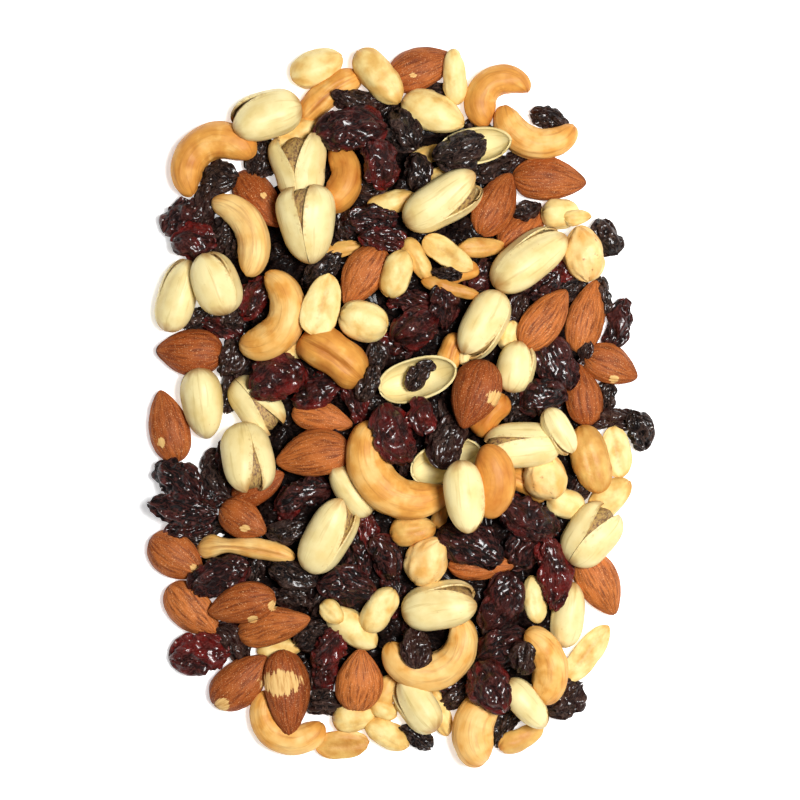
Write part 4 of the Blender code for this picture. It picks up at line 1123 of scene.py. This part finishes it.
def wrinkleTree(name):
    tree = bpy.data.node_groups.new(name, "GeometryNodeTree")
    face = tree.interface
    face.new_socket("Geometry", in_out="INPUT", socket_type="NodeSocketGeometry")
    for label in ("Fold Size", "Fold Depth", "Fold Stretch", "Pore Size", "Pore Depth", "Seed"):
        face.new_socket(label, in_out="INPUT", socket_type="NodeSocketFloat")
    face.new_socket("Skin", in_out="INPUT", socket_type="NodeSocketMaterial")
    face.new_socket("Geometry", in_out="OUTPUT", socket_type="NodeSocketGeometry")
    given = addNode(tree, "NodeGroupInput").outputs
    grain = addNode(tree, "GeometryNodeInputNamedAttribute", {"Name": "grain"}, data_type="FLOAT_VECTOR")
    stretch = addNode(tree, "ShaderNodeCombineXYZ", {"X": given["Fold Stretch"], "Y": 1.0, "Z": 1.0})
    along = addNode(tree, "ShaderNodeVectorMath", {
        0: grain.outputs[0], 1: stretch.outputs[0],
    }, operation="MULTIPLY")
    foldScale = addNode(tree, "ShaderNodeMath", {0: 1.0, 1: given["Fold Size"]}, operation="DIVIDE")
    folds = addNode(tree, "ShaderNodeTexNoise", {
        "Vector": along.outputs[0], "W": given["Seed"], "Scale": foldScale.outputs[0], "Detail": 2.0,
        "Roughness": wrinkleForm["roughness"], "Distortion": wrinkleForm["distortion"],
    }, noise_dimensions="4D")
    # the distance from the noise's middle value makes sharp valleys between rounded folds
    centred = addNode(tree, "ShaderNodeMath", {0: folds.outputs[0], 1: 0.5}, operation="SUBTRACT")
    valley = addNode(tree, "ShaderNodeMath", {0: centred.outputs[0]}, operation="ABSOLUTE")
    crest = addNode(tree, "ShaderNodeMapRange", {
        "Value": valley.outputs[0], "From Min": 0.0, "From Max": wrinkleForm["valleyWidth"],
    }, interpolation_type="SMOOTHSTEP")
    poreScale = addNode(tree, "ShaderNodeMath", {0: 1.0, 1: given["Pore Size"]}, operation="DIVIDE")
    pores = addNode(tree, "ShaderNodeTexNoise", {
        "Vector": grain.outputs[0], "W": given["Seed"], "Scale": poreScale.outputs[0], "Detail": 2.0,
    }, noise_dimensions="4D")
    poreCentred = addNode(tree, "ShaderNodeMath", {0: pores.outputs[0], 1: 0.5}, operation="SUBTRACT")
    crestCentred = addNode(tree, "ShaderNodeMath", {
        0: crest.outputs[0], 1: wrinkleForm["crestMiddle"],
    }, operation="SUBTRACT")
    foldRise = addNode(tree, "ShaderNodeMath", {
        0: crestCentred.outputs[0], 1: given["Fold Depth"],
    }, operation="MULTIPLY")
    poreRise = addNode(tree, "ShaderNodeMath", {
        0: poreCentred.outputs[0], 1: given["Pore Depth"],
    }, operation="MULTIPLY")
    rise = addNode(tree, "ShaderNodeMath", {0: foldRise.outputs[0], 1: poreRise.outputs[0]}, operation="ADD")
    metres = addNode(tree, "ShaderNodeMath", {0: rise.outputs[0], 1: mm}, operation="MULTIPLY")
    normal = addNode(tree, "GeometryNodeInputNormal")
    push = addNode(tree, "ShaderNodeVectorMath", {
        0: normal.outputs[0], "Scale": metres.outputs[0],
    }, operation="SCALE")
    marked = addNode(tree, "GeometryNodeStoreNamedAttribute", {
        "Geometry": given["Geometry"], "Name": "crest", "Value": crest.outputs[0],
    }, data_type="FLOAT", domain="POINT")
    moved = addNode(tree, "GeometryNodeSetPosition", {
        "Geometry": marked.outputs[0], "Offset": push.outputs[0],
    })
    # nothing reaches below the surface that the heap lies on
    place = addNode(tree, "GeometryNodeInputPosition")
    parts = addNode(tree, "ShaderNodeSeparateXYZ", {0: place.outputs[0]})
    level = addNode(tree, "ShaderNodeMath", {0: parts.outputs[2], 1: 0.0}, operation="MAXIMUM")
    rested = addNode(tree, "ShaderNodeCombineXYZ", {
        0: parts.outputs[0], 1: parts.outputs[1], 2: level.outputs[0],
    })
    laid = addNode(tree, "GeometryNodeSetPosition", {
        "Geometry": moved.outputs[0], "Position": rested.outputs[0],
    })
    real = addNode(tree, "GeometryNodeRealizeInstances", {"Geometry": laid.outputs[0]})
    skinned = addNode(tree, "GeometryNodeSetMaterial", {
        "Geometry": real.outputs[0], "Material": given["Skin"],
    })
    addNode(tree, "NodeGroupOutput", {0: skinned.outputs[0]})
    return tree


def applyTree(item, tree, values):
    # the modifier's inputs are set by identifier, and its result becomes a plain mesh
    modifier = item.modifiers.new(tree.name, "NODES")
    modifier.node_group = tree
    identifiers = {
        socket.name: socket.identifier for socket in tree.interface.items_tree if socket.in_out == "INPUT"
    }
    for label, value in values.items():
        modifier[identifiers[label]] = value
    bpy.context.view_layer.update()
    evaluated = item.evaluated_get(bpy.context.evaluated_depsgraph_get())
    finished = bpy.data.meshes.new_from_object(evaluated)
    item.modifiers.remove(modifier)
    item.data = finished
    item.data.name = item.name
    item.data.shade_smooth()


wrinkles = wrinkleTree("wrinkles")
# the piece's name and the record's slot, then fold size and depth, how much folds stretch along the piece
# (small is long), and pore size and depth
finishes = {
    "almond": ("almonds", "almond_skin", 2.2, 0.30, 0.16, 1.0, 0.22),
    "cashew": ("cashews", "roasted_cashew", 7.0, 0.30, 0.6, 2.0, 0.14),
    "shell": ("pistachio_shells", "pistachio_shell", 9.0, 0.12, 0.3, 3.0, 0.05),
    "kernel": ("pistachio_kernels", "pistachio_kernel", 3.0, 0.5, 0.4, 1.0, 0.2),
    "peanut": ("peanuts", "blanched_peanut", 7.0, 0.45, 0.6, 1.6, 0.20),
    "hazelnut": ("hazelnuts", "hazelnut", 5.0, 0.6, 0.6, 1.6, 0.25),
    "raisin": ("raisins", "raisin", 2.6, 1.6, 0.35, 1.3, 0.9),
    "cranberry": ("cranberries", "dried_cranberry", 4.2, 1.7, 0.6, 1.7, 0.9),
    "gapFruit": ("gap_raisins", "raisin", 2.6, 1.6, 0.35, 1.3, 0.9),
    "hidden": ("hidden_fruit", "raisin", 4.0, 1.1, 1.0, 1.4, 0.5),
    "bed": ("bed", "raisin", 5.0, 2.2, 1.0, 2.0, 0.8),
}


def finishPiece(item, kind, seed):
    # wrinkles for the kind, and its skin
    foldSize, foldDepth, stretch, poreSize, poreDepth = finishes[kind][2:]
    applyTree(item, wrinkles, {
        "Fold Size": foldSize, "Fold Depth": foldDepth, "Fold Stretch": stretch, "Pore Size": poreSize,
        "Pore Depth": poreDepth, "Seed": seed, "Skin": skins[skinOf.get(kind, kind)],
    })
    triangles = sum(len(face.vertices) - 2 for face in item.data.polygons)
    print(item.name, "made:", triangles, "triangles")


skinOf = {"gapFruit": "raisin", "bed": "hidden"}
shells, kernels = gatherPistachios()
gathers = {"shell": shells, "kernel": kernels, "gapFruit": gatherGapFruit()}
made = {}
for kind in list(finishes)[:-2]:
    made[kind] = meshObject(finishes[kind][0], gathers.get(kind) or gatherSolid(kind))
    finishPiece(made[kind], kind, 3.0)


# The bed: a core dark with painted shade, and the fruit that shows in the gaps

# fruitDensity is for a square metre, and the fruit is turned by up to fruitTilt radians off level
bed = {
    "segments": 200, "rings": 70, "sink": 1.6, "leastHeight": 0.3, "fruitSink": 0.8, "fruitSize": 4.4,
    "fruitSpacing": 3.4, "fruitDensity": 60000.0, "fruitTilt": 0.35, "fruitDetail": 4, "bareUnder": 3.4,
    "smallest": (0.9, 0.65, 0.45), "largest": (1.35, 0.95, 0.62), "upward": 0.3, "seed": 11,
}


def bareShare(x, y):
    # 1 where no piece covers the bed
    column = int(round((x + pile["fieldHalf"][0]) / pile["cell"]))
    row = int(round((y + pile["fieldHalf"][1]) / pile["cell"]))
    share = math.hypot(x, y) / coreReach(math.atan2(y, x))
    return 1.0 if share < 1.0 and field[2][row, column] - bedTop(share) < bed["bareUnder"] else 0.0


def bedMesh(name, sink):
    shape = bmesh.new()
    bmesh.ops.create_uvsphere(shape, u_segments=bed["segments"], v_segments=2 * bed["rings"], radius=1.0)
    for vertex in shape.verts:
        share = min(math.hypot(vertex.co.x, vertex.co.y), 1.0)
        bearing = math.atan2(vertex.co.y, vertex.co.x)
        reach = coreReach(bearing) * share
        height = max(bedTop(share) - sink, bed["leastHeight"]) if vertex.co.z > 1e-6 else 0.0
        vertex.co = Vector((reach * math.cos(bearing), reach * math.sin(bearing), height)) * mm
    bmesh.ops.recalc_face_normals(shape, faces=shape.faces)
    mesh = bpy.data.meshes.new(name)
    shape.to_mesh(mesh)
    shape.free()
    bare = mesh.attributes.new("bare", "FLOAT", "POINT")
    shares = [bareShare(vertex.co.x / mm, vertex.co.y / mm) for vertex in mesh.vertices]
    bare.data.foreach_set("value", shares)
    grain = mesh.attributes.new("grain", "FLOAT_VECTOR", "POINT")
    grain.data.foreach_set("vector", [place / mm for vertex in mesh.vertices for place in vertex.co])
    item = bpy.data.objects.new(name, mesh)
    bpy.context.scene.collection.objects.link(item)
    return item


def fruitTree():
    # dried fruit scattered over the bed, each turned and sized by its own draw
    tree = bpy.data.node_groups.new("hidden_fruit", "GeometryNodeTree")
    face = tree.interface
    face.new_socket("Geometry", in_out="INPUT", socket_type="NodeSocketGeometry")
    for label in ("Fruit Size", "Spacing"):
        face.new_socket(label, in_out="INPUT", socket_type="NodeSocketFloat")
    face.new_socket("Seed", in_out="INPUT", socket_type="NodeSocketInt")
    face.new_socket("Skin", in_out="INPUT", socket_type="NodeSocketMaterial")
    face.new_socket("Geometry", in_out="OUTPUT", socket_type="NodeSocketGeometry")
    given = addNode(tree, "NodeGroupInput").outputs
    normal = addNode(tree, "GeometryNodeInputNormal")
    facing = addNode(tree, "ShaderNodeSeparateXYZ", {0: normal.outputs[0]})
    bare = addNode(tree, "GeometryNodeInputNamedAttribute", {"Name": "bare"}, data_type="FLOAT")
    inGaps = addNode(tree, "ShaderNodeMath", {0: facing.outputs[2], 1: bare.outputs[0]}, operation="MULTIPLY")
    upward = addNode(tree, "FunctionNodeCompare", {
        0: inGaps.outputs[0], 1: bed["upward"],
    }, operation="GREATER_THAN")
    spots = addNode(tree, "GeometryNodeDistributePointsOnFaces", {
        "Mesh": given["Geometry"], "Selection": upward.outputs[0], "Distance Min": given["Spacing"],
        "Density Max": bed["fruitDensity"], "Seed": given["Seed"],
    }, distribute_method="POISSON")
    ball = addNode(tree, "GeometryNodeMeshIcoSphere", {
        "Radius": given["Fruit Size"], "Subdivisions": bed["fruitDetail"],
    })
    turn = addNode(tree, "FunctionNodeRandomValue", {
        "Min": (-bed["fruitTilt"], -bed["fruitTilt"], 0.0), "Max": (bed["fruitTilt"], bed["fruitTilt"], 6.28),
        "Seed": given["Seed"],
    }, data_type="FLOAT_VECTOR")
    size = addNode(tree, "FunctionNodeRandomValue", {
        "Min": bed["smallest"], "Max": bed["largest"], "Seed": given["Seed"],
    }, data_type="FLOAT_VECTOR")
    laid = addNode(tree, "GeometryNodeInstanceOnPoints", {
        "Points": spots.outputs[0], "Instance": ball.outputs[0], "Rotation": turn.outputs[0],
        "Scale": size.outputs[0],
    })
    real = addNode(tree, "GeometryNodeRealizeInstances", {"Geometry": laid.outputs[0]})
    place = addNode(tree, "GeometryNodeInputPosition")
    grain = addNode(tree, "ShaderNodeVectorMath", {0: place.outputs[0], "Scale": 1.0 / mm}, operation="SCALE")
    grained = addNode(tree, "GeometryNodeStoreNamedAttribute", {
        "Geometry": real.outputs[0], "Name": "grain", "Value": grain.outputs[0],
    }, data_type="FLOAT_VECTOR", domain="POINT")
    skinned = addNode(tree, "GeometryNodeSetMaterial", {
        "Geometry": grained.outputs[0], "Material": given["Skin"],
    })
    addNode(tree, "NodeGroupOutput", {0: skinned.outputs[0]})
    return tree


made["bed"] = bedMesh("bed", bed["sink"])
made["hidden"] = bedMesh("hidden_fruit", bed["fruitSink"])
applyTree(made["hidden"], fruitTree(), {
    "Fruit Size": bed["fruitSize"] * mm, "Spacing": bed["fruitSpacing"] * mm, "Seed": bed["seed"],
    "Skin": skins["hidden"],
})
finishPiece(made["hidden"], "hidden", 5.0)
finishPiece(made["bed"], "bed", 6.0)


# Riding: everything stands for the heap's one node

for kind, item in made.items():
    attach(item, "root")
    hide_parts(heapNode)


# Studio: a pale floor that glows with painted light, a broad soft light from the right, and a camera straight
# above

studio = {
    "photoPixels": 800, "pixelsPerMm": 3.3, "middle": (0.0, 1.5), "level": 8.0, "lens": 135.0, "sensor": 36.0,
    "floorSize": 8.0, "floorDrop": 0.02, "lightPower": 11.2, "lightSize": 0.26,
    "lightPlace": (0.27, 0.03, 0.89), "skyStrength": 0.06, "horizonStrength": 0.9, "horizonTo": 0.2,
    "floorGlow": 0.5, "farGlow": 0.9, "farFrom": 0.25, "farTo": 0.9,
}


def makeStudio():
    bpy.ops.mesh.primitive_plane_add(size=studio["floorSize"], location=(0.0, 0.0, -studio["floorDrop"] * mm))
    floor = bpy.context.object
    floor.name = "floor"
    material, tree, shader = newMaterial("white_card")
    shader.inputs["Base Color"].default_value = toLinear("#FFFFFF")
    shader.inputs["Roughness"].default_value = 0.9
    shader.inputs["Specular IOR Level"].default_value = 0.0
    shader.inputs["Emission Color"].default_value = toLinear("#FFFFFF")
    # the card glows with painted light and is paler far from the lamp, so that it runs into the horizon
    place = addNode(tree, "ShaderNodeTexCoord").outputs["Object"]
    away = addNode(tree, "ShaderNodeVectorMath", {0: place}, operation="LENGTH")
    paintedFloorGlow = addNode(tree, "ShaderNodeMapRange", {
        "Value": away.outputs["Value"], "From Min": studio["farFrom"], "From Max": studio["farTo"],
        "To Min": studio["floorGlow"], "To Max": studio["farGlow"],
    })
    tree.links.new(paintedFloorGlow.outputs[0], shader.inputs["Emission Strength"])
    floor.data.materials.append(material)
    lamp = bpy.data.lights.new("softbox", "AREA")
    lamp.energy = studio["lightPower"]
    lamp.size = studio["lightSize"]
    lampItem = bpy.data.objects.new("softbox", lamp)
    lampItem.location = studio["lightPlace"]
    lampItem.rotation_euler = (-Vector(studio["lightPlace"])).to_track_quat("-Z", "Y").to_euler()
    bpy.context.scene.collection.objects.link(lampItem)
    world = bpy.data.worlds.new("studio")
    world.use_nodes = True
    sky = world.node_tree
    # paler towards the horizon, so that the heap's sides aren't lost
    direction = addNode(sky, "ShaderNodeTexCoord").outputs["Generated"]
    height = addNode(sky, "ShaderNodeSeparateXYZ", {0: direction}).outputs["Z"]
    glow = addNode(sky, "ShaderNodeMapRange", {
        "Value": height, "From Max": studio["horizonTo"], "To Min": studio["horizonStrength"],
        "To Max": studio["skyStrength"],
    }, interpolation_type="SMOOTHSTEP")
    sky.nodes["Background"].inputs["Color"].default_value = (1.0, 1.0, 1.0, 1.0)
    sky.links.new(glow.outputs[0], sky.nodes["Background"].inputs["Strength"])
    bpy.context.scene.world = world
    bpy.context.scene.view_settings.view_transform = "Standard"
    bpy.context.scene.view_settings.look = "None"


def makeCamera():
    view = bpy.data.cameras.new("overhead")
    view.lens = studio["lens"]
    view.sensor_width = studio["sensor"]
    wide = studio["photoPixels"] / studio["pixelsPerMm"]
    distance = wide / studio["sensor"] * studio["lens"]
    camera = bpy.data.objects.new("overhead", view)
    camera.location = Vector((*studio["middle"], distance + studio["level"])) * mm
    bpy.context.scene.collection.objects.link(camera)
    bpy.context.scene.camera = camera


makeStudio()
makeCamera()
print("studio ready")
